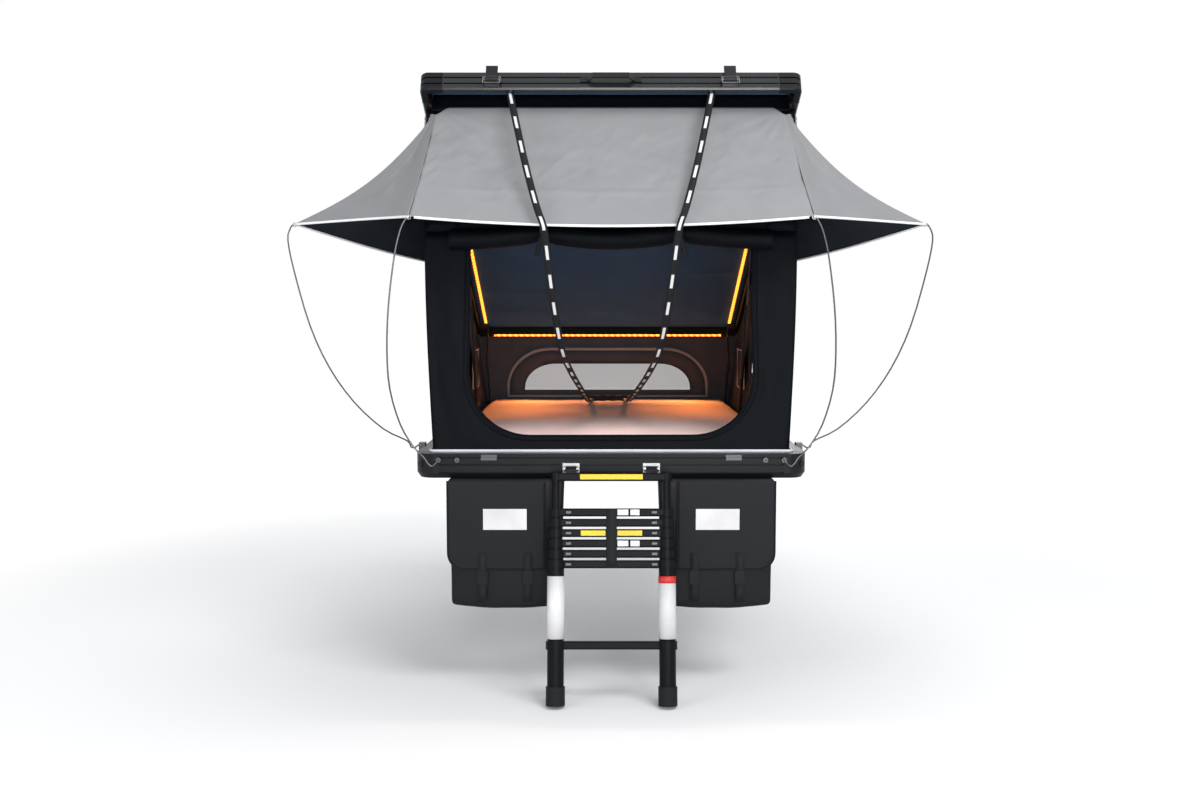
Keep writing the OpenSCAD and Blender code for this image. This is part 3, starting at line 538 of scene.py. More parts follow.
def ribbon(name, path, width, thickness, finish, body="base", stands_for=()):
    """Flat webbing: an edge that lies across the tent, extruded along the path and given thickness."""
    shape = bmesh.new()
    edge = shape.edges.new([shape.verts.new(path[0] + ACROSS * (width * k)) for k in (-0.5, 0.5)])
    for place in path[1:]:
        grown = bmesh.ops.extrude_edge_only(shape, edges=[edge])["geom"]
        edge = next(e for e in grown if isinstance(e, bmesh.types.BMEdge))
        middle = sum((v.co for v in edge.verts), Vector()) / 2
        for vert in edge.verts:
            vert.co += place - middle
    layer = shape.loops.layers.uv.new("UVMap")
    run = run_along(path)
    for i, face in enumerate(shape.faces):
        for loop in face.loops:
            ends = [(loop.vert.co - path[k]).length for k in (i, i + 1)]
            side = (loop.vert.co - path[i]).dot(ACROSS) > 0
            loop[layer].uv = (run[i] if ends[0] < ends[1] else run[i + 1], 1.0 if side else 0.0)
    piece = make_piece(name, shape, finish, body, stands_for)
    thicken(piece, thickness)
    return piece


def block(low, high, round_edge, segments):
    """A block between two corners, its edges rounded."""
    shape = bmesh.new()
    low, high = Vector(low), Vector(high)
    bmesh.ops.create_cube(shape, size=1.0)
    bmesh.ops.scale(shape, vec=high - low, verts=shape.verts)
    bmesh.ops.translate(shape, vec=(low + high) / 2, verts=shape.verts)
    bmesh.ops.bevel(shape, geom=shape.edges[:], offset=round_edge, segments=segments, affect="EDGES",
                    profile=0.5, material=-1)
    return shape


def slice_up(shape, direction, places):
    """Cut a shape with planes at places along one direction."""
    for place in places:
        bmesh.ops.bisect_plane(shape, geom=shape.verts[:] + shape.edges[:] + shape.faces[:],
                               plane_co=Vector(direction) * place, plane_no=direction)


print("lines and blocks ready")

# %% [markdown]
# ## The pull straps
# Two webbing straps hang from the lid's near rail, run down over the awning and its hem and into the tent,
# where they meet in one grip. Webbing lies flat, so each strap is an edge drawn along its route.

# %% Straps
STRAP_WIDTH, STRAP_SEAT, STRAP_DEPTH = 0.026, 2.1227, 0.026
strap_points = [on_lid(0.374, STRAP_SEAT, 0.040), on_lid(0.370, STRAP_SEAT, 0.002)] + [Vector(p) for p in (
    (0.342, -0.905, 1.290), (0.303, -1.000, 1.130), (0.262, -1.082, 0.985), (0.240, -1.112, 0.925),
    (0.232, -1.100, 0.880), (0.208, -0.985, 0.650), (0.182, -0.850, 0.475), (0.152, -0.650, 0.378),
    (0.124, -0.400, 0.304), (0.102, -0.100, 0.238), (0.092, 0.250, 0.190), (0.088, 0.520, 0.166),
    (0.086, 0.700, 0.165))]
HINGE = on_lid(0, 2.060, -0.0005)
PANEL_DOWN = (Vector((0, -1.100, 0.950)) - HINGE).normalized()
PANEL_OUT = PANEL_DOWN.cross(ACROSS).normalized()


def tuck(piece, depth):
    """Give a piece of the awning its own mesh; a plane this deep behind the awning's hinge is worked out but
    not used.
    """
    HINGE - PANEL_OUT * depth
    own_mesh(piece)


for side, sign in SIDES:
    route = [Vector((sign * p.x, p.y, p.z)) for p in spline(strap_points, 5)]
    strap = ribbon("pull_strap_" + side, route, STRAP_WIDTH, 0.002, strap_webbing, "awning_front",
                   ("pull_straps",))
    length = run_along(route)[-1]
    tuck(strap, STRAP_DEPTH)
    print(strap.name, "length", round(length, 3))

# %% [markdown]
# ## The grip between the straps
# A moulded oval grip lies on the mattress. A bar cut into many rings is drawn in at three places, where the
# fingers go, so that it doesn't look like a plain rod.

# %% Grip
GRIP_Y, GRIP_Z, GRIP_HALF, GRIP_R = 0.723, 0.1656, 0.1, 0.0108
shape = bmesh.new()
bmesh.ops.create_cone(shape, cap_ends=True, segments=24, radius1=GRIP_R, radius2=GRIP_R, depth=2 * GRIP_HALF,
                      matrix=Matrix.Rotation(math.pi / 2, 4, "Y"))
long_edges = [e for e in shape.edges if abs(e.verts[0].co.x - e.verts[1].co.x) > GRIP_HALF]
bmesh.ops.subdivide_edges(shape, edges=long_edges, cuts=28)
for vert in shape.verts:
    ring = 1 - 0.14 * (0.5 + 0.5 * math.cos(vert.co.x * 2 * math.pi / 0.05)) * (abs(vert.co.x) < 0.09)
    vert.co.y *= ring
    vert.co.z *= ring * 1.4
bmesh.ops.translate(shape, vec=(0, GRIP_Y, GRIP_Z), verts=shape.verts)
grip = make_piece("strap_grip_moulded", shape, rubber, "awning_front", ("strap_grip",))
tuck(grip, STRAP_DEPTH)
print("grip", tuple(round(v, 3) for v in grip.dimensions))

# %% [markdown]
# ## The mattress
# A foam slab in a sewn cover: flat underneath, crowned on top, its sides drawn in between two piped seams.
# A cut-up block is pushed into that shape point by point; slow ripples in the top are where people sat.

# %% Mattress
M_HALF = Vector((0.605, 0.990))
M_LOW, M_HIGH = 0.0553, 0.150
M_CUTS = (((1, 0, 0), M_HALF.x, 0.05), ((0, 1, 0), M_HALF.y, 0.05), ((0, 0, 1), 0.16, 0.012))


def mattress_form(co):
    """Where a point of the plain block goes: s and t run from -1 to 1 across and along, h from 0 to 1 up."""
    s, t = co.x / M_HALF.x, co.y / M_HALF.y
    h = (co.z - M_LOW) / (M_HIGH - M_LOW)
    belly = 0.005 * math.cos(h * 4 * math.pi) - 0.006
    edge = max(abs(s), abs(t))
    crown = -0.010 * smooth((edge - 0.62) / 0.38)
    dents = 0.0022 * ripple((co.x, co.y, 0.3), 5.0) + 0.0010 * ripple((co.x, co.y, 0.9), 17.0)
    x = co.x + belly * s * (abs(s) > 0.97)
    y = co.y + belly * t * (abs(t) > 0.97)
    z = co.z + (crown + dents - 0.0015) * smooth((h - 0.55) / 0.45)
    return Vector((x, y, z))


shape = block((-M_HALF.x, -M_HALF.y, M_LOW), (M_HALF.x, M_HALF.y, M_HIGH), 0.022, 4)
for direction, reach, gap in M_CUTS:
    slice_up(shape, direction, [-reach + i * gap for i in range(1, int(2 * reach / gap))])
for vert in shape.verts:
    vert.co = mattress_form(vert.co)
mattress = make_piece("mattress_foam", shape, foam_cover, "base", ("mattress",))
surface = mattress.modifiers.new("surface", "SUBSURF")
surface.levels = surface.render_levels = 1
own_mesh(mattress)


def rounded_loop(half_x, half_y, radius, z, steps=8):
    points = []
    for quarter, (sx, sy) in enumerate(((1, 1), (-1, 1), (-1, -1), (1, -1))):
        for i in range(steps + 1):
            angle = math.pi / 2 * (quarter + i / steps)
            points.append(Vector((sx * (half_x - radius) + radius * math.cos(angle),
                                  sy * (half_y - radius) + radius * math.sin(angle), z)))
    return points


for name, z in (("low", M_LOW + 0.014), ("high", M_HIGH - 0.024)):
    loop = rounded_loop(M_HALF.x - 0.001, M_HALF.y - 0.001, 0.024, z)
    seam = piping("mattress_piping_" + name, loop, 0.0028, foam_cover, "base", closed=True)
    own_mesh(seam)
print("mattress faces", len(mattress.data.polygons))

# %% [markdown]
# ## The roof lining
# The lid is lined with a padded cloth panel. It is quilted in wide channels across the lid, so a grid is
# lowered a few millimetres between its seams.

# %% Roof lining
LINING_HALF, LINING_FACE = 0.671, 0.0605
LINING_FAR, LINING_NEAR = 0.029, 2.121


def lining_place(s, t):
    u = lerp(LINING_FAR, LINING_NEAR, t)
    x = lerp(-LINING_HALF, LINING_HALF, s)
    seam = abs(math.sin(math.pi * u / 0.21))
    inside = smooth(min(s, 1 - s, t, 1 - t) * 30)
    dip = 0.0025 * (1 - seam) ** 6 - 0.0015 * ripple((x, u, 0), 6.0)
    return on_lid(x, u, LINING_FACE + max(0.0005, 0.001 + dip * inside))


shape = grid(60, 150, lining_place, (1.34, 2.09))
lining = make_piece("roof_lining_panel", shape, roof_lining, "lid", ("headliner",))
thicken(lining, 0.010, -1.0)
print("lining", tuple(round(v, 3) for v in lining.dimensions))

# %% [markdown]
# ## The front wall and its door
# The canvas at the door end is one panel with a big D-shaped opening, wide round corners at its foot. Two
# lines with the same number of points, the panel's outline and the opening's, are bridged and cut into
# rows, and the cloth then gets soft drag lines and slack folds beside the door.

# %% Front wall
DOOR_HALF, DOOR_SILL, DOOR_HEAD, DOOR_R = 0.515, 0.062, 0.815, 0.22


def front_half(v):
    place = on_front(0, v)
    return wall_half(place.y, place.z) - 0.0005


def door_outline(grow=0.0, steps=14):
    """The opening from its top left corner round the foot to its top right corner, as (x, v)."""
    half, sill, radius = DOOR_HALF + grow, DOOR_SILL - grow, DOOR_R + grow
    points = [(-half, lerp(DOOR_HEAD, sill + radius, i / 16)) for i in range(16)]
    for start, centre in ((math.pi, -half + radius), (1.5 * math.pi, half - radius)):
        arc = [start + math.pi / 2 * i / steps for i in range(steps + 1)]
        points += [(centre + radius * math.cos(a), sill + radius + radius * math.sin(a)) for a in arc]
    points += [(half, lerp(sill + radius, DOOR_HEAD, i / 16)) for i in range(1, 17)]
    return points


def wall_edge(point):
    """The point of the panel's outline that lies outwards from a point of the door's outline."""
    x, v = point
    if v >= DOOR_SILL + DOOR_R:
        return (math.copysign(front_half(v), x), v)
    if abs(x) <= DOOR_HALF - DOOR_R:
        return (x, 0.0)
    turn = math.atan2(DOOR_SILL + DOOR_R - v, abs(x) - (DOOR_HALF - DOOR_R)) / (math.pi / 2)
    corner_v = DOOR_SILL + DOOR_R
    if turn < 0.5:
        v = lerp(corner_v, 0, turn * 2)
        return (math.copysign(front_half(v), x), v)
    return (math.copysign(lerp(front_half(0), DOOR_HALF - DOOR_R, turn * 2 - 1), x), 0.0)


def panel(shape, inner, outer, cuts):
    """A band of cloth between two open lines with the same number of points, cut into rows."""
    lines = [[shape.verts.new((x, v, 0)) for x, v in line] for line in (inner, outer)]
    edges = []
    for line in lines:
        edges += [shape.edges.new(pair) for pair in zip(line, line[1:])]
    made = bmesh.ops.bridge_loops(shape, edges=edges)
    rungs = [e for e in made["edges"] if e.is_valid]
    bmesh.ops.subdivide_edges(shape, edges=rungs, cuts=cuts, use_grid_fill=True)


def drag(x, v, seed=0.0):
    """Soft folds of the tent cloth: long ones from the corners and a fine crumple, in metres outwards."""
    long_fold = ripple((x * 3.0 + v, v * 1.1 - x, 0.2), 2.2, seed) * 0.006
    hang = ripple((x * 9.0, v * 1.3, 0.4), 2.0, seed) * 0.006
    return long_fold + hang + ripple((x, v, 0.7), 9.0, seed) * 0.0022


def front_drag(x, v):
    """The door panel hangs slacker: upright folds beside the door that die out under the roll."""
    slack = ripple((x * 7.0 + v * 1.6, v * 0.5, 0.9), 2.6, 5.0) * 0.011
    slack += ripple((x * 5.0 - v * 2.4, v, 0.3), 3.0, 7.0) * 0.006
    return drag(x, v) + slack * (1 - smooth((v - 0.62) / 0.16))


shape = bmesh.new()
door = door_outline()
panel(shape, door, [wall_edge(p) for p in door], 11)
above = bmesh.new()
bmesh.ops.create_grid(above, x_segments=60, y_segments=14, size=0.5)
for vert in above.verts:
    v = lerp(DOOR_HEAD, FRONT_HEIGHT, vert.co.y + 0.5)
    vert.co = (2 * vert.co.x * front_half(v), v, 0)
joined = bpy.data.meshes.new("joined")
above.to_mesh(joined)
above.free()
shape.from_mesh(joined)
bpy.data.meshes.remove(joined)
bmesh.ops.remove_doubles(shape, verts=shape.verts, dist=0.0005)
unroll(shape)
for vert in shape.verts:
    x, v = vert.co.xy
    calm = smooth(v / 0.05) * smooth((FRONT_HEIGHT - v) / 0.05)
    calm *= smooth((front_half(v) - abs(x)) / 0.03)
    vert.co = on_front(x, v, front_drag(x, v) * calm)
face_out(shape, FRONT_OUT)
front_wall = make_piece("front_canvas", shape, [canvas, canvas_inside], stands_for=("front_wall",))
thicken(front_wall, 0.0018, 0.0, 1, 0)
print("front canvas area", round(area_of(front_wall), 3))

# %% [markdown]
# ## Wall pieces with meshes of their own
# Every piece of a wall gets its own copy of its mesh.


# %% Own-mesh helper
def fold_flat(*pieces):
    for piece in pieces:
        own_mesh(piece)


fold_flat(front_wall)
binding = [on_front(x, v, 0.002 + front_drag(x, v)) for x, v in door_outline(0.004)]
fold_flat(piping("door_binding", binding, 0.0032, canvas))
zip_line = [on_front(x, v, 0.0025 + front_drag(x, v)) for x, v in door_outline(0.02)]
fold_flat(piping("door_zip", zip_line, 0.0026, canvas))
print("door bound")

# %% [markdown]
# ## Windows in a wall
# A window is a hole with a see-through mesh in it. A flat band of cloth frames it on both faces of the wall,
# with piping along the band's two edges. Outlines are rows of points in the wall's own two directions, laid
# onto the wall at the end, so the same helpers serve the sides and the foot.


# %% Window helpers
def laid(shape, place):
    """Give a flat shape its UV map, then lay it in place."""
    unroll(shape)
    for vert in shape.verts:
        vert.co = place(vert.co.x, vert.co.y)
    bmesh.ops.recalc_face_normals(shape, faces=shape.faces)
    return shape


def pane(points, place):
    """A mesh pane inside a closed outline."""
    shape = bmesh.new()
    shape.faces.new([shape.verts.new((a, b, 0)) for a, b in points])
    return laid(shape, place)


def frame_band(inner, outer, place):
    """A flat band of cloth between two closed outlines."""
    shape = bmesh.new()
    edges = []
    for line in (inner, outer):
        verts = [shape.verts.new((a, b, 0)) for a, b in line]
        edges += [shape.edges.new(pair) for pair in zip(verts, verts[1:] + verts[:1])]
    bmesh.ops.bridge_loops(shape, edges=edges)
    return laid(shape, place)


def within(loop, a, b):
    """Whether the point (a, b) lies inside a closed outline: count the edges that a ray along +a crosses."""
    crossed = False
    for (a0, b0), (a1, b1) in zip(loop, loop[1:] + loop[:1]):
        if (b0 > b) != (b1 > b) and a < a0 + (a1 - a0) * (b - b0) / (b1 - b0):
            crossed = not crossed
    return crossed


def cut_window(shape, loop, flat):
    """Take out a wall's faces that lie wholly inside a closed outline; flat(point) gives its two places."""
    hidden = {vert for vert in shape.verts if within(loop, *flat(vert.co))}
    gone = [face for face in shape.faces if all(vert in hidden for vert in face.verts)]
    bmesh.ops.delete(shape, geom=gone, context="FACES")


def sewn_window(name, tail, outline, border, place, depth, faces, edges):
    """The mesh pane at its depth in the wall, and a frame with piping on each face of the wall."""
    screen = make_piece(name + tail, pane(outline, lambda a, b: place(a, b, depth)), window_mesh)
    thicken(screen, 0.0008)
    fold_flat(screen)
    for part, out, finish in faces:
        shape = frame_band(outline, border, lambda a, b: place(a, b, out))
        band = make_piece("%s_frame_%s%s" % (name, part, tail), shape, finish)
        thicken(band, 0.0015)
        fold_flat(band)
        for (edge, radius, trim), line in zip(edges, (outline, border)):
            label = "%s_%s_%s%s" % (name, edge, part, tail)
            points = [place(a, b, out + math.copysign(0.001, out)) for a, b in line]
            fold_flat(piping(label, points, radius, trim or finish, closed=True))


print("window helpers ready")

# %% [markdown]
# ## The side walls
# Each side is a long panel that narrows towards the foot end, with a large window half way. It hangs from the
# lid's rim, stands on the base's rim and bellies a little between them.

# %% Side walls
WINDOW = (-0.56, 0.21, 0.303, 0.713)
SIDE_FACES = (("outside", 0.0045, canvas), ("inside", -0.0125, canvas_inside))
SIDE_EDGES = (("zip", 0.0028, dark_steel), ("seam", 0.0028, None))


def on_side(sign, y, z, out=0.0):
    return Vector((sign * (wall_half(y, z) + out), y, z))


def side_place(sign):
    def place(s, t):
        y_low, y_high = lerp(FRONT_Y, FOOT_Y, s), lerp(FRONT_TOP.y, FOOT_TOP.y, s)
        z = lerp(WALL_Z, side_top(y_high), t)
        y = lerp(y_low, y_high, t)
        calm = smooth(min(s, 1 - s, t, 1 - t) * 14)
        return on_side(sign, y, z, (drag(y, z, 3.0 + sign) - 0.004) * calm)
    return place


def window_loop(grow, radius):
    """The side window's outline as (y, z), grown by so much all round."""
    low_y, high_y, low_z, high_z = WINDOW[0] - grow, WINDOW[1] + grow, WINDOW[2] - grow, WINDOW[3] + grow
    middle = Vector(((low_y + high_y) / 2, (low_z + high_z) / 2))
    loop = rounded_loop((high_y - low_y) / 2, (high_z - low_z) / 2, radius, 0)
    return [(p.x + middle.x, p.y + middle.y) for p in loop]


for side, sign in SIDES:
    shape = grid(120, 66, side_place(sign), (2.03, 0.9))
    face_out(shape, (sign, 0, 0))
    area = sum(face.calc_area() for face in shape.faces)
    cut_window(shape, window_loop(0.022, 0.16), lambda p: (p.y, p.z))
    wall = make_piece("side_canvas_" + side, shape, [canvas, canvas_inside], stands_for=("side_walls",))
    thicken(wall, 0.0018, 0.0, 1, 0)
    fold_flat(wall)
    sewn_window("side_window", "_" + side, window_loop(0, 0.14), window_loop(0.04, 0.17),
                lambda y, z, out: on_side(sign, y, z, out), -0.004, SIDE_FACES, SIDE_EDGES)
    print(wall.name, "area", round(area, 3))

# %% [markdown]
# ## Pockets
# A pocket with a pale bound edge hangs on each side wall, between the window and the foot end. Its cloth
# stands away from the wall at the mouth, so that something could be put in.

# %% Pockets
POCKET = (0.34, 0.62, 0.24, 0.42)


def pocket_place(sign):
    def place(s, t):
        y, z = lerp(POCKET[0], POCKET[1], s), lerp(POCKET[2], POCKET[3], t)
        belly = 0.012 * math.sin(math.pi * s) * math.sin(math.pi * (0.25 + 0.5 * t))
        return on_side(sign, y, z, -0.014 - belly - 0.018 * t)
    return place


for side, sign in SIDES:
    place = pocket_place(sign)
    pocket = make_piece("side_pocket_" + side, grid(24, 18, place, (0.28, 0.18)), canvas_inside)
    thicken(pocket, 0.0014)
    edge = [place(i / 12, 0) for i in range(13)] + [place(1, i / 12) for i in range(1, 13)]
    edge += [place(1 - i / 12, 1) for i in range(1, 13)] + [place(0, 1 - i / 12) for i in range(1, 12)]
    trim = piping("side_pocket_binding_" + side, edge, 0.0028, binding_pale, closed=True)
    fold_flat(pocket, trim)
    print(pocket.name, tuple(round(v, 3) for v in pocket.dimensions))

# %% [markdown]
# ## The foot wall
# The low wall at the foot end has a wide window with round shoulders. Daylight comes through its mesh, so
# seen from the door it is the palest thing inside the tent. An arched frame is sewn round it.

# %% Foot wall
FOOT_UP = Vector((0, FOOT_TOP.y - FOOT_Y, FOOT_TOP.z - WALL_Z))
FOOT_HEIGHT = FOOT_UP.length
FOOT_UP.normalize()
FOOT_IN = Vector((0, -FOOT_UP.z, FOOT_UP.y))
FOOT_HALF = 0.6405
FOOT_LOW, FOOT_HIGH = 0.070, 0.215
FOOT_FACES = (("inside", 0.0085, canvas_inside), ("outside", -0.0085, canvas))
FOOT_EDGES = (("zip", 0.0032, dark_steel), ("arch", 0.0085, binding_dark))


def on_foot(x, v, inside=0.0):
    return Vector((x, FOOT_Y, WALL_Z)) + FOOT_UP * v + FOOT_IN * inside


def foot_place(s, t):
    v = FOOT_HEIGHT * t
    half = wall_half(FOOT_Y, WALL_Z + v * FOOT_UP.z) - 0.0005
    x = lerp(-half, half, s)
    calm = smooth(min(s, 1 - s, t, 1 - t) * 14)
    return on_foot(x, v, drag(x, v, 9.0) * calm)


def arch_loop(half, low, high, round_x, round_v, steps=12):
    """A window outline with a flat foot and wide elliptic shoulders."""
    turns = [math.pi / 2 * i / steps for i in range(steps + 1)]
    right = [(half - round_x + round_x * math.cos(a), high - round_v + round_v * math.sin(a)) for a in turns]
    left = [(-x, v) for x, v in reversed(right)]
    return [(-half, low), (half, low)] + right + left


shape = grid(90, 40, foot_place, (2 * FOOT_HALF, FOOT_HEIGHT))
hole = arch_loop(0.46, FOOT_LOW - 0.018, FOOT_HIGH + 0.02, 0.18, 0.145)
cut_window(shape, hole, lambda p: (p.x, (p.z - WALL_Z) / FOOT_UP.z))
face_out(shape, (0, 1, 0))
foot_wall = make_piece("foot_canvas", shape, [canvas, canvas_inside], stands_for=("foot_wall",))
thicken(foot_wall, 0.0018, 0.0, 1, 0)
fold_flat(foot_wall)
outline = arch_loop(0.44, FOOT_LOW, FOOT_HIGH, 0.165, 0.13)
border = arch_loop(0.525, FOOT_LOW - 0.03, FOOT_HIGH + 0.075, 0.22, 0.2)
sewn_window("foot_window", "", outline, border, on_foot, 0.0, FOOT_FACES, FOOT_EDGES)
print("foot wall height", round(FOOT_HEIGHT, 3))

# %% [markdown]
# ## The rolled-up door
# The door panel is rolled up and tied above the opening. A sheet wound into a spiral is a truer roll than a
# closed sausage: its ends show the turns. The roll is pinched at its two ties and sags between them.

# %% Door roll
ROLL_HALF, ROLL_R, ROLL_TIE, ROLL_SAG, ROLL_Z, ROLL_TURNS = 0.590, 0.0425, 0.25, 0.022, 0.902, 3.2
ROLL_Y = FRONT_Y + (ROLL_Z - WALL_Z - ROLL_SAG) * FRONT_UP.y / FRONT_UP.z - ROLL_R - 0.0035
ROLL_TIED = 0.78 * ROLL_R


def roll_middle(x):
    outwards = min((abs(x) - ROLL_TIE) / (ROLL_HALF - ROLL_TIE), 1.0)
    dip = math.cos(math.pi / 2 * x / ROLL_TIE) if outwards < 0 else math.sin(math.pi / 2 * outwards)
    return Vector((x, ROLL_Y, ROLL_Z - ROLL_SAG * dip))


def roll_pinch(x):
    return 1 - 0.3 * math.exp(-(((abs(x) - ROLL_TIE) / 0.03) ** 2))


def roll_place(s, t):
    x = lerp(-ROLL_HALF, ROLL_HALF, s)
    angle = 2 * math.pi * ROLL_TURNS * t
    radius = lerp(0.006, ROLL_R, t) * roll_pinch(x)
    radius *= 1 + 0.07 * ripple((x * 2.0, math.cos(angle), math.sin(angle)), 3.0, 5.0)
    return roll_middle(x) + Vector((0, radius * math.cos(angle), radius * math.sin(angle)))


roll_length = math.pi * ROLL_TURNS * (0.006 + ROLL_R)
shape = grid(100, 90, roll_place, (2 * ROLL_HALF, roll_length))
roll = make_piece("rolled_door", shape, [canvas, canvas], stands_for=("door_roll",))
thicken(roll, 0.0014)
fold_flat(roll)
for side, sign in SIDES:
    middle = roll_middle(sign * ROLL_TIE)
    turns = [2 * math.pi * i / 24 for i in range(25)]
    loop = [middle + Vector((0, ROLL_TIED * math.cos(a), ROLL_TIED * math.sin(a))) for a in turns]
    start = middle + Vector((0, -ROLL_TIED, -0.004))
    tail = [start + Vector((sign * 0.004 * i, -0.002, -0.016 * i)) for i in range(6)]
    fold_flat(ribbon("door_tie_" + side, loop, 0.022, 0.0016, webbing),
              ribbon("door_tie_end_" + side, tail, 0.018, 0.0014, webbing))
print("roll sheet", round(2 * ROLL_HALF, 3), "by", round(roll_length, 3))

# %% [markdown]
# ## The awning's shape
# One wrap-around awning in three panels hangs from the lid's rim, held out by four sprung rods. Every panel
# is a grid pulled hollow by its own tension, with a few wrinkles running into the corners. The front panel
# spans from the rim to its hem; a wing is a fan that spreads from the lid's corner.

# %% Awning shape
AWNING_U, AWNING_X, RIM_X = 2.040, 0.653, 0.694
FRONT_CORNER = Vector((0.706, -1.100, 0.950))
WING_TIP = Vector((1.230, -0.600, 0.955))
WING_U, HEM_SAG = 0.800, 0.030
RIDGE_SAG = Vector((-0.028, 0, -0.038))
CORNER_DROP = 0.036


def awning_place(s, t):
    x = 2 * s - 1
    bow = 1 - x * x
    top = on_lid(x * AWNING_X, AWNING_U, -0.0005) + PANEL_DOWN * CORNER_DROP * smooth((abs(x) - 0.92) / 0.08)
    hem_x = x * (FRONT_CORNER.x - 0.002)
    hem = Vector((hem_x, FRONT_CORNER.y + HEM_SAG * bow * 0.8, FRONT_CORNER.z - HEM_SAG * bow))
    pull = math.sin(math.pi * t)
    folds = 0.012 * ripple((x * 1.2, t * 0.5, 0.0), 4.0, 2.0) * pull
    folds += 0.006 * ripple((x * 2.4, t * 1.6, 0.5), 4.0, 6.0) * pull
    folds += 0.0034 * ripple((x * 3.0 + t * 2.0, t * 1.4 - x, 0.8), 7.0, 8.0) * pull
    corner = math.hypot(1 - abs(x), 0.8 * t)
    fan = math.sin(20 * math.atan2(0.8 * t, 1 - abs(x) + 0.001))
    folds += 0.0035 * fan * smooth(corner / 0.1) * math.exp(-corner * 4) * smooth(t * 6)
    folds += 0.0035 * math.exp(-(((t - 0.72) / 0.02) ** 2)) * (1 - x ** 8)
    hollow = Vector((0, 0.014 * pull * (1 - 0.4 * x * x), -0.010 * pull))
    return lerp(top, hem, t) + hollow + PANEL_OUT * folds


WING_TOP = awning_place(1.0, 0.0)


def wing_place(sign):
    """A fan of pulls from the lid's corner to the front rod's tip, the side rod's tip and along the rim."""
    front, far = FRONT_CORNER + Vector((0.002, 0, 0)), on_lid(RIM_X, WING_U, -0.001)

    def place(s, reach):
        turn = 2 * s
        bow = math.sin(math.pi * turn)
        if turn <= 1:
            hem = lerp(front, WING_TIP, turn) + Vector((-0.040, 0.026, 0.006)) * bow
            sag = lerp(Vector((0, 0.0084, -0.010)), RIDGE_SAG, turn) + Vector((0.004, -0.004, 0.003)) * bow
        else:
            hem = lerp(WING_TIP, far, turn - 1) + Vector((0.020, -0.010, 0.020)) * bow
            sag = lerp(RIDGE_SAG, Vector((0, 0, 0)), turn - 1) + Vector((-0.006, -0.005, -0.010)) * bow
        point = lerp(WING_TOP, hem, reach) + sag * math.sin(math.pi * reach)
        if turn > 1:
            seat = on_lid(RIM_X, lerp(AWNING_U - 0.01, WING_U, reach), -0.001)
            rim = lerp(WING_TOP, seat, smooth(reach / 0.05))
            point += (rim - lerp(WING_TOP, far, reach)) * (turn - 1) ** 3
        crumple = 0.016 * ripple((turn, reach, 1.0), 3.0, 4.0) + 0.008 * ripple((turn, reach, 0.4), 8.0, 4.0)
        point.z += crumple * math.sin(math.pi * reach) * bow
        behind = point.y - FRONT_Y - (point.z - WALL_Z) * FRONT_UP.y / FRONT_UP.z
        point.x = lerp(point.x, max(point.x, RIM_X + 0.004), smooth(0.5 + behind / 0.03))
        point.x *= sign
        return point
    return place


print("awning's top corner", tuple(round(v, 3) for v in WING_TOP))

# %% [markdown]
# ## The awning's front panel
# Its cloth is grey outside and coated black inside, so a Solidify gives the back face the second finish. A
# pale hem runs along its foot.

# %% Awning front
AWNING_DEPTH, HEM_R = 0.030, 0.0045
shape = grid(150, 64, awning_place, (1.4, 0.54))
face_out(shape, PANEL_OUT)
awning = make_piece("awning_front_cloth", shape, [awning_grey, awning_black], "awning_front",
                    ("awning_front",))
thicken(awning, 0.0016, -1.0, 1, 0)
tuck(awning, AWNING_DEPTH)
hem = [awning_place(lerp(0.012, 0.988, i / 48), 1.0) + Vector((0, -0.001, -0.003)) for i in range(49)]
tuck(piping("awning_front_hem", hem, HEM_R, binding_pale, "awning_front"), AWNING_DEPTH)
print("awning front area", round(area_of(awning), 3))

# %% [markdown]
# ## Tapes under the rim
# Dark tapes are sewn inside the lid's rim, one behind the awning and one above each side wall. They close the
# slits under the lid, where the lamps would show through.

# %% Rim tapes
TAPE_FOOT, FRONT_TAPE_TOP, SIDE_TAPE_TOP = -0.014, 0.059, 0.018


def front_tape(s, t):
    return on_lid(lerp(-0.665, 0.665, s), AWNING_U - 0.004, lerp(FRONT_TAPE_TOP, TAPE_FOOT, t))


def side_tape(sign):
    def place(s, t):
        return on_lid(sign * 0.669, lerp(0.06, 2.02, t), lerp(SIDE_TAPE_TOP, TAPE_FOOT, s))
    return place


def rim_tape(name, shape, flat, top):
    """A strip of canvas that hangs from the lid."""
    tape = make_piece(name, shape, canvas, "lid")
    thicken(tape, 0.0015)
    on_lid(0, AWNING_U, top)
    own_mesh(tape)
    print(tape.name, flat)


FRONT_TAPE, SIDE_TAPE = (1.33, 0.073), (0.032, 1.96)
shape = grid(40, 6, front_tape, FRONT_TAPE)
rim_tape("awning_top_tape", shape, FRONT_TAPE, FRONT_TAPE_TOP)
for side, sign in SIDES:
    shape = grid(4, 60, side_tape(sign), SIDE_TAPE)
    rim_tape("side_rim_tape_" + side, shape, SIDE_TAPE, SIDE_TAPE_TOP)

# %% [markdown]
# ## The awning's wings
# A wing joins the front panel's edge, the side rod's tip and the lid's side rim. It has the same two
# finishes, a pale hem and a steel eyelet for each rod.

# %% Awning wings
WING_DEPTH = 0.022


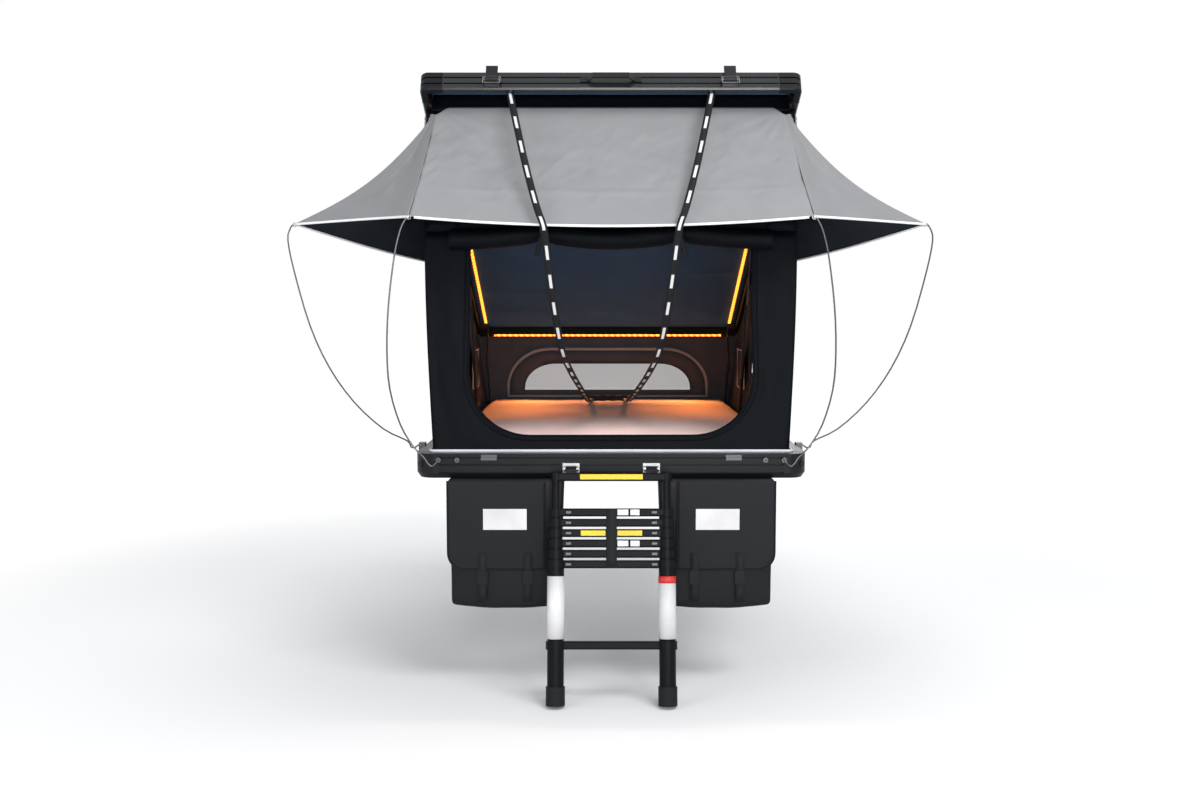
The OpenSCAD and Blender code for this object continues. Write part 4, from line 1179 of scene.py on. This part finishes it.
def tuck_wing(sign, *pieces):
    """Give a wing's pieces their own meshes; a plane a little below the side rim and the side rod's tip is
    worked out but not used.
    """
    anchor = on_lid(sign * 0.692, 2.060, -0.001)
    flat_out = TOWARDS_DOOR.cross(Vector((sign * WING_TIP.x, WING_TIP.y, WING_TIP.z)) - anchor).normalized()
    anchor -= flat_out * sign * WING_DEPTH
    for piece in pieces:
        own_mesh(piece)


for side, sign in SIDES:
    body, place = "awning_wing_" + side, wing_place(sign)
    shape = grid(84, 56, place, (1.3, 0.66))
    bmesh.ops.remove_doubles(shape, verts=shape.verts, dist=0.0002)
    face_out(shape, (0, 0, 1))
    wing = make_piece("awning_wing_cloth_" + side, shape, [awning_grey, awning_black], body,
                      (body,))
    thicken(wing, 0.0016, -1.0, 1, 0)
    hem = [place(i / 80, 1.0) + Vector((0, 0, -0.002)) for i in range(81)]
    tuck_wing(sign, wing, piping("awning_wing_hem_" + side, hem, HEM_R, binding_pale, body))
    for part, middle in (("front", FRONT_CORNER), ("tip", WING_TIP)):
        middle = Vector((sign * middle.x, middle.y, middle.z - 0.004))
        loop = [middle + Vector((0.007 * math.cos(0.5 * i), 0, 0.007 * math.sin(0.5 * i))) for i in range(13)]
        eyelet = piping("awning_eyelet_%s_%s" % (part, side), loop, 0.002, steel, body)
        tuck_wing(sign, eyelet)
    print(wing.name, "area", round(area_of(wing), 3))

# %% [markdown]
# ## Joints of the lid's frame
# Bare metal shows as a thin bright line where each straight rail meets a corner. A fine wire up the outer
# face of the joint gives that line.

# %% Lid joints
LID_LONG, LID_HALF, CORNER = 2.147, 0.700, 0.085
seats = [(sign * (LID_HALF - CORNER), u) for sign in (-1, 1) for u in (0.0, LID_LONG)]
seats += [(sign * LID_HALF, u) for sign in (-1, 1) for u in (CORNER, LID_LONG - CORNER)]
for number, (x, u) in enumerate(seats):
    line = [on_lid(x, u, 0.003 + 0.0115 * i) for i in range(7)]
    piping("lid_joint_%d" % (number + 1), line, 0.0011, steel, "lid", sides=1)
print("lid joints", len(seats))

# %% [markdown]
# ## The shoe bags
# Two soft bags hang under the base's near rail. A block cut into many faces is puffed out in the middle,
# let sag towards its foot and creased, and the flap is a separate curved sheet with piping and two buckles.

# %% Bags
BAG_LOW, BAG_HIGH = Vector((0.167, -1.100, -0.4423)), Vector((0.583, -1.000, 0.0247))


def bag_form(co):
    s = (co.x - BAG_LOW.x) / (BAG_HIGH.x - BAG_LOW.x) * 2 - 1
    d = (co.y - BAG_LOW.y) / (BAG_HIGH.y - BAG_LOW.y) * 2 - 1
    h = (co.z - BAG_LOW.z) / (BAG_HIGH.z - BAG_LOW.z)
    fullness = (1 - s * s) * (0.35 + 0.65 * math.sin(math.pi * min(1, (1 - h) * 0.9)))
    y = co.y - d * 0.020 * (1 - fullness) + 0.003 * ripple((co.x, co.z, 0.2), 9.0) * (d < 0)
    x = co.x - s * 0.012 * math.sin(math.pi * h) * (1 - abs(d)) - s * 0.010 * (1 - h)
    z = co.z + 0.012 * (s * s) * (1 - smooth(h / 0.3)) - 0.002 * (h < 0.02)
    return Vector((x, y, z)) + Vector((0, 0, 0.0015 * ripple((co.x, co.y, co.z), 14.0))) * (h < 0.9)


FLAP_LEFT, FLAP_RIGHT, FLAP_TOP, FLAP_FOOT, FLAP_R = 0.235, 0.583, 0.0197, -0.3003, 0.06


def flap_place(s, t):
    x, z = lerp(FLAP_LEFT, FLAP_RIGHT, s), lerp(FLAP_TOP, FLAP_FOOT, t)
    past = Vector((max(0, x - (FLAP_RIGHT - FLAP_R)), max(0, FLAP_FOOT + FLAP_R - z)))
    if past.x > 0 and past.y > 0:
        reach = max(past.x, past.y)
        x -= past.x - past.x * reach / max(past.length, 1e-6)
        z += past.y - past.y * reach / max(past.length, 1e-6)
    puff = 0.0015 + 0.0012 * math.sin(math.pi * s) * smooth(t * 3) + 0.0012 * ripple((x, z, 0), 9.0, 7.0) * t
    return Vector((x, -1.1004 - puff, z))


def mirrored(shape, flip):
    bmesh.ops.transform(shape, matrix=flip, verts=shape.verts)
    bmesh.ops.recalc_face_normals(shape, faces=shape.faces)
    return shape


BAG_CUTS = (((1, 0, 0), 0.18, 20), ((0, 0, 1), -0.43, 22), ((0, 1, 0), -1.09, 4))
FLAP_FLAT = (0.348, 0.32)
STRAP_DROP = (-0.24, -0.28, -0.31, -0.345, -0.38, -0.415)
for side, sign in SIDES:
    flip, body = Matrix.Diagonal((sign, 1, 1, 1)), "bag_flap_" + side
    shape = block(BAG_LOW, BAG_HIGH, 0.014, 3)
    for direction, start, count in BAG_CUTS:
        slice_up(shape, direction, [start + 0.02 * i for i in range(count)])
    for vert in shape.verts:
        vert.co = bag_form(vert.co)
    make_piece("shoe_bag_" + side, mirrored(shape, flip), bag_cloth, "base", ("bag_" + side,))
    shape = mirrored(grid(36, 36, flap_place, FLAP_FLAT), flip)
    flap = make_piece("shoe_bag_flap_" + side, shape, bag_cloth, body, (body,))
    thicken(flap, 0.0022)
    edge = [flap_place(0, i / 20) for i in range(21)] + [flap_place(i / 30, 1) for i in range(1, 31)]
    edge += [flap_place(1, 1 - i / 20) for i in range(1, 21)]
    piping("shoe_bag_flap_piping_" + side, [flip @ p for p in edge], 0.0022, bag_cloth, body)
    for part, x in (("inner", 0.297), ("outer", 0.459)):
        line = [Vector((sign * x, -1.1058, z)) for z in STRAP_DROP]
        ribbon("bag_buckle_strap_%s_%s" % (part, side), line, 0.03, 0.0016, webbing, body)
        shape = mirrored(block((x - 0.019, -1.1085, -0.352), (x + 0.019, -1.1064, -0.302), 0.0009, 2), flip)
        make_piece("bag_buckle_%s_%s" % (part, side), shape, moulding, body, smooth_faces=False)
    shape = mirrored(block((0.30, -1.1062, -0.155), (0.455, -1.1046, -0.08), 0.0007, 2), flip)
    make_piece("bag_plain_patch_" + side, shape, plate_white, body, smooth_faces=False)
    print(flap.name, "area", round(area_of(flap), 3))

# %% [markdown]
# ## Ladder trim
# The closed rungs are held together by a webbing strap, and plain plates and sleeves sit on the rungs and
# the lowest stiles. Everything is placed in the ladder's own leaning frame, s measured down the stiles.

# %% Ladder trim
LEAN = math.radians(11.35)
LADDER_TOP = Vector((0, -1.125, 0.037))
LADDER_DOWN = Vector((0, -math.sin(LEAN), -math.cos(LEAN)))
LADDER_FRONT = Vector((0, -math.cos(LEAN), math.sin(LEAN)))


def on_ladder(x, s, out):
    return LADDER_TOP + Vector((x, 0, 0)) + LADDER_DOWN * s + LADDER_FRONT * out


ladder_turn = Matrix.Translation(LADDER_TOP) @ Matrix.Rotation(-LEAN, 4, "X")
PLATE_BACK, PLATE_FRONT, STILE_X = 0.0172, 0.0182, 0.194


def ladder_plate(name, x, s, width, height, finish, section):
    """A plain plate on the face of a rung."""
    low = (x - width / 2, -PLATE_FRONT, -s - height / 2)
    high = (x + width / 2, -PLATE_BACK, -s + height / 2)
    shape = block(low, high, 0.0005, 2)
    bmesh.ops.transform(shape, matrix=ladder_turn, verts=shape.verts)
    make_piece(name, shape, finish, "ladder_section_%d" % section, smooth_faces=False)


def stile_sleeve(name, x, s, radius, length, wall, finish):
    """A sleeve round one of the lowest section's stiles."""
    shape = bmesh.new()
    bmesh.ops.create_cone(shape, cap_ends=False, segments=48, radius1=radius, radius2=radius, depth=length)
    bmesh.ops.translate(shape, vec=(x, 0, -s), verts=shape.verts)
    bmesh.ops.transform(shape, matrix=ladder_turn, verts=shape.verts)
    thicken(make_piece(name, shape, finish, "ladder_section_7"), wall, 1.0)


def rung_s(k):
    return 0.124 + 0.036 * (k - 2)


ladder_plate("top_rung_plate", 0, 0.0, 0.22, 0.018, plate_yellow, 1)
for side, sign in SIDES:
    ladder_plate("rung_plate_" + side, sign * 0.064, rung_s(4), 0.086, 0.018, plate_yellow, 4)
    stile_sleeve("stile_sleeve_" + side, sign * STILE_X, 0.4525, 0.0296, 0.215, 0.0008, plate_white)
for k in (2, 5):
    for part, x, width in (("inner", 0.040, 0.038), ("outer", 0.082, 0.032)):
        ladder_plate("rung_patch_%s_%d" % (part, k), x, rung_s(k), width, 0.02, plate_white, k)
stile_sleeve("stile_band", STILE_X, 0.357, 0.0306, 0.024, 0.0006, plate_red)
strap_line = [on_ladder(0, s, 0.0185) for s in (0.112, 0.13, 0.16, 0.2, 0.24, 0.28, 0.316)]
ribbon("ladder_strap_webbing", strap_line, 0.038, 0.0018, webbing, "ladder_section_2",
       ("ladder_strap",))
print("ladder strap length", round(run_along(strap_line)[-1], 3))

# %% [markdown]
# ## The floor
# A pale floor catches the shadow. Further away it stops taking light and glows white instead, so it runs into
# the background and no horizon shows.

# %% Floor
FLOOR_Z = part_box("ladder_feet")[0].z - 0.001
shape = bmesh.new()
bmesh.ops.create_grid(shape, x_segments=1, y_segments=1, size=14)
bmesh.ops.translate(shape, vec=(0, 0, FLOOR_Z), verts=shape.verts)
mesh = bpy.data.meshes.new("studio_floor")
shape.to_mesh(mesh)
shape.free()
floor = bpy.data.objects.new("studio_floor", mesh)
bpy.context.collection.objects.link(floor)
studio = Finish("studio_floor", (0.86, 0.86, 0.86), 0.9, Emission_Strength=1.0)
away = studio.node("ShaderNodeVectorMath", {"operation": "LENGTH"}, {0: studio.place()}).out("Value")
fade = studio.node("ShaderNodeMapRange", {"interpolation_type": "SMOOTHSTEP"},
                   {"Value": away, "From Min": 1.5, "From Max": 4.2}).out()
studio.vary((0.86, 0.86, 0.86), (0, 0, 0), fade)
studio.set("Emission Color", studio.mix(fade, (0, 0, 0, 1), (1, 1, 1, 1)))
mesh.materials.append(studio.material)
print("floor at", round(FLOOR_Z, 3))

# %% [markdown]
# ## The background
# The background is white only for rays that come from the camera, from a shiny surface or through a clear
# one. For all other rays it is a weak sky, so that it doesn't wash out the black cloth.

# %% Background
world = bpy.data.worlds.new("studio")
bpy.context.scene.world = world
world.use_nodes = True
nodes, links = world.node_tree.nodes, world.node_tree.links
rays = nodes.new("ShaderNodeLightPath")
seen = rays.outputs["Is Camera Ray"]
for kind in ("Is Glossy Ray", "Is Transmission Ray"):
    either = nodes.new("ShaderNodeMath")
    either.operation = "MAXIMUM"
    links.new(seen, either.inputs[0])
    links.new(rays.outputs[kind], either.inputs[1])
    seen = either.outputs[0]
white, sky = nodes["Background"], nodes.new("ShaderNodeBackground")
white.inputs["Color"].default_value = (1, 1, 1, 1)
sky.inputs["Color"].default_value = (0.92, 0.95, 1, 1)
sky.inputs["Strength"].default_value = 0.45
pick = nodes.new("ShaderNodeMixShader")
links.new(seen, pick.inputs[0])
links.new(sky.outputs[0], pick.inputs[1])
links.new(white.outputs[0], pick.inputs[2])
links.new(pick.outputs[0], nodes["World Output"].inputs["Surface"])
bpy.context.scene.view_settings.view_transform = "Standard"
print("background nodes", len(nodes))

# %% [markdown]
# ## Lamps
# Big soft lamps stand round the tent, so that black cloth still shows its form. Small amber lamps under the
# lining throw the lit strips' glow onto the bed, and a pink one lights its near end. These ride on the lid.


# %% Lamps
def soft_lamp(name, place, aim, size, power, color=(1, 1, 1), spread=math.pi):
    data = bpy.data.lights.new(name, "AREA")
    data.shape = "RECTANGLE"
    data.size, data.size_y = size
    data.energy = power
    data.color = color
    data.spread = spread
    holder = bpy.data.objects.new(name, data)
    holder.location = place
    holder.rotation_euler = (Vector(aim) - Vector(place)).to_track_quat("-Z", "Y").to_euler()
    holder.visible_camera = False
    bpy.context.collection.objects.link(holder)
    return holder


AMBER, NARROW = (1.0, 0.3, 0.06), math.radians(55)
PINK, WIDE = (1.0, 0.8, 0.76), math.radians(80)
soft_lamp("key", (2.6, -4.3, 4.6), (0, -0.8, 0.9), (3.0, 1.6), 190)
soft_lamp("fill", (-3.6, -4.2, 1.8), (0, -0.6, 0.4), (2.4, 2.4), 45)
soft_lamp("door", (0.5, -5.8, 0.8), (0, 0, 0.6), (2.6, 1.4), 145)
soft_lamp("top", (0.2, 0.8, 4.6), (0, 0.2, 0.6), (3.6, 3.0), 100)
soft_lamp("back", (0.5, 5.0, 2.6), (0, 0.6, 0.4), (3.0, 2.0), 90)
for side, sign in SIDES:
    for part, u in (("far", 0.4), ("middle", 0.75), ("near", 1.1)):
        place = on_lid(sign * 0.45, u, 0.02)
        name = "amber_%s_%s" % (side, part)
        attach(soft_lamp(name, place, (sign * 0.36, place.y, 0), (0.06, 0.06), 0.4, AMBER, NARROW), "lid")
place = on_lid(0, 0.1, 0.02)
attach(soft_lamp("amber_foot", place, (0, place.y - 0.3, 0), (1.1, 0.03), 1.2, AMBER, NARROW), "lid")
place = on_lid(0, 1.85, 0.02)
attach(soft_lamp("inside", place, (0, -0.85, 0.15), (0.6, 0.1), 1.7, PINK, WIDE), "lid")
print("lamps", len(bpy.data.lights))
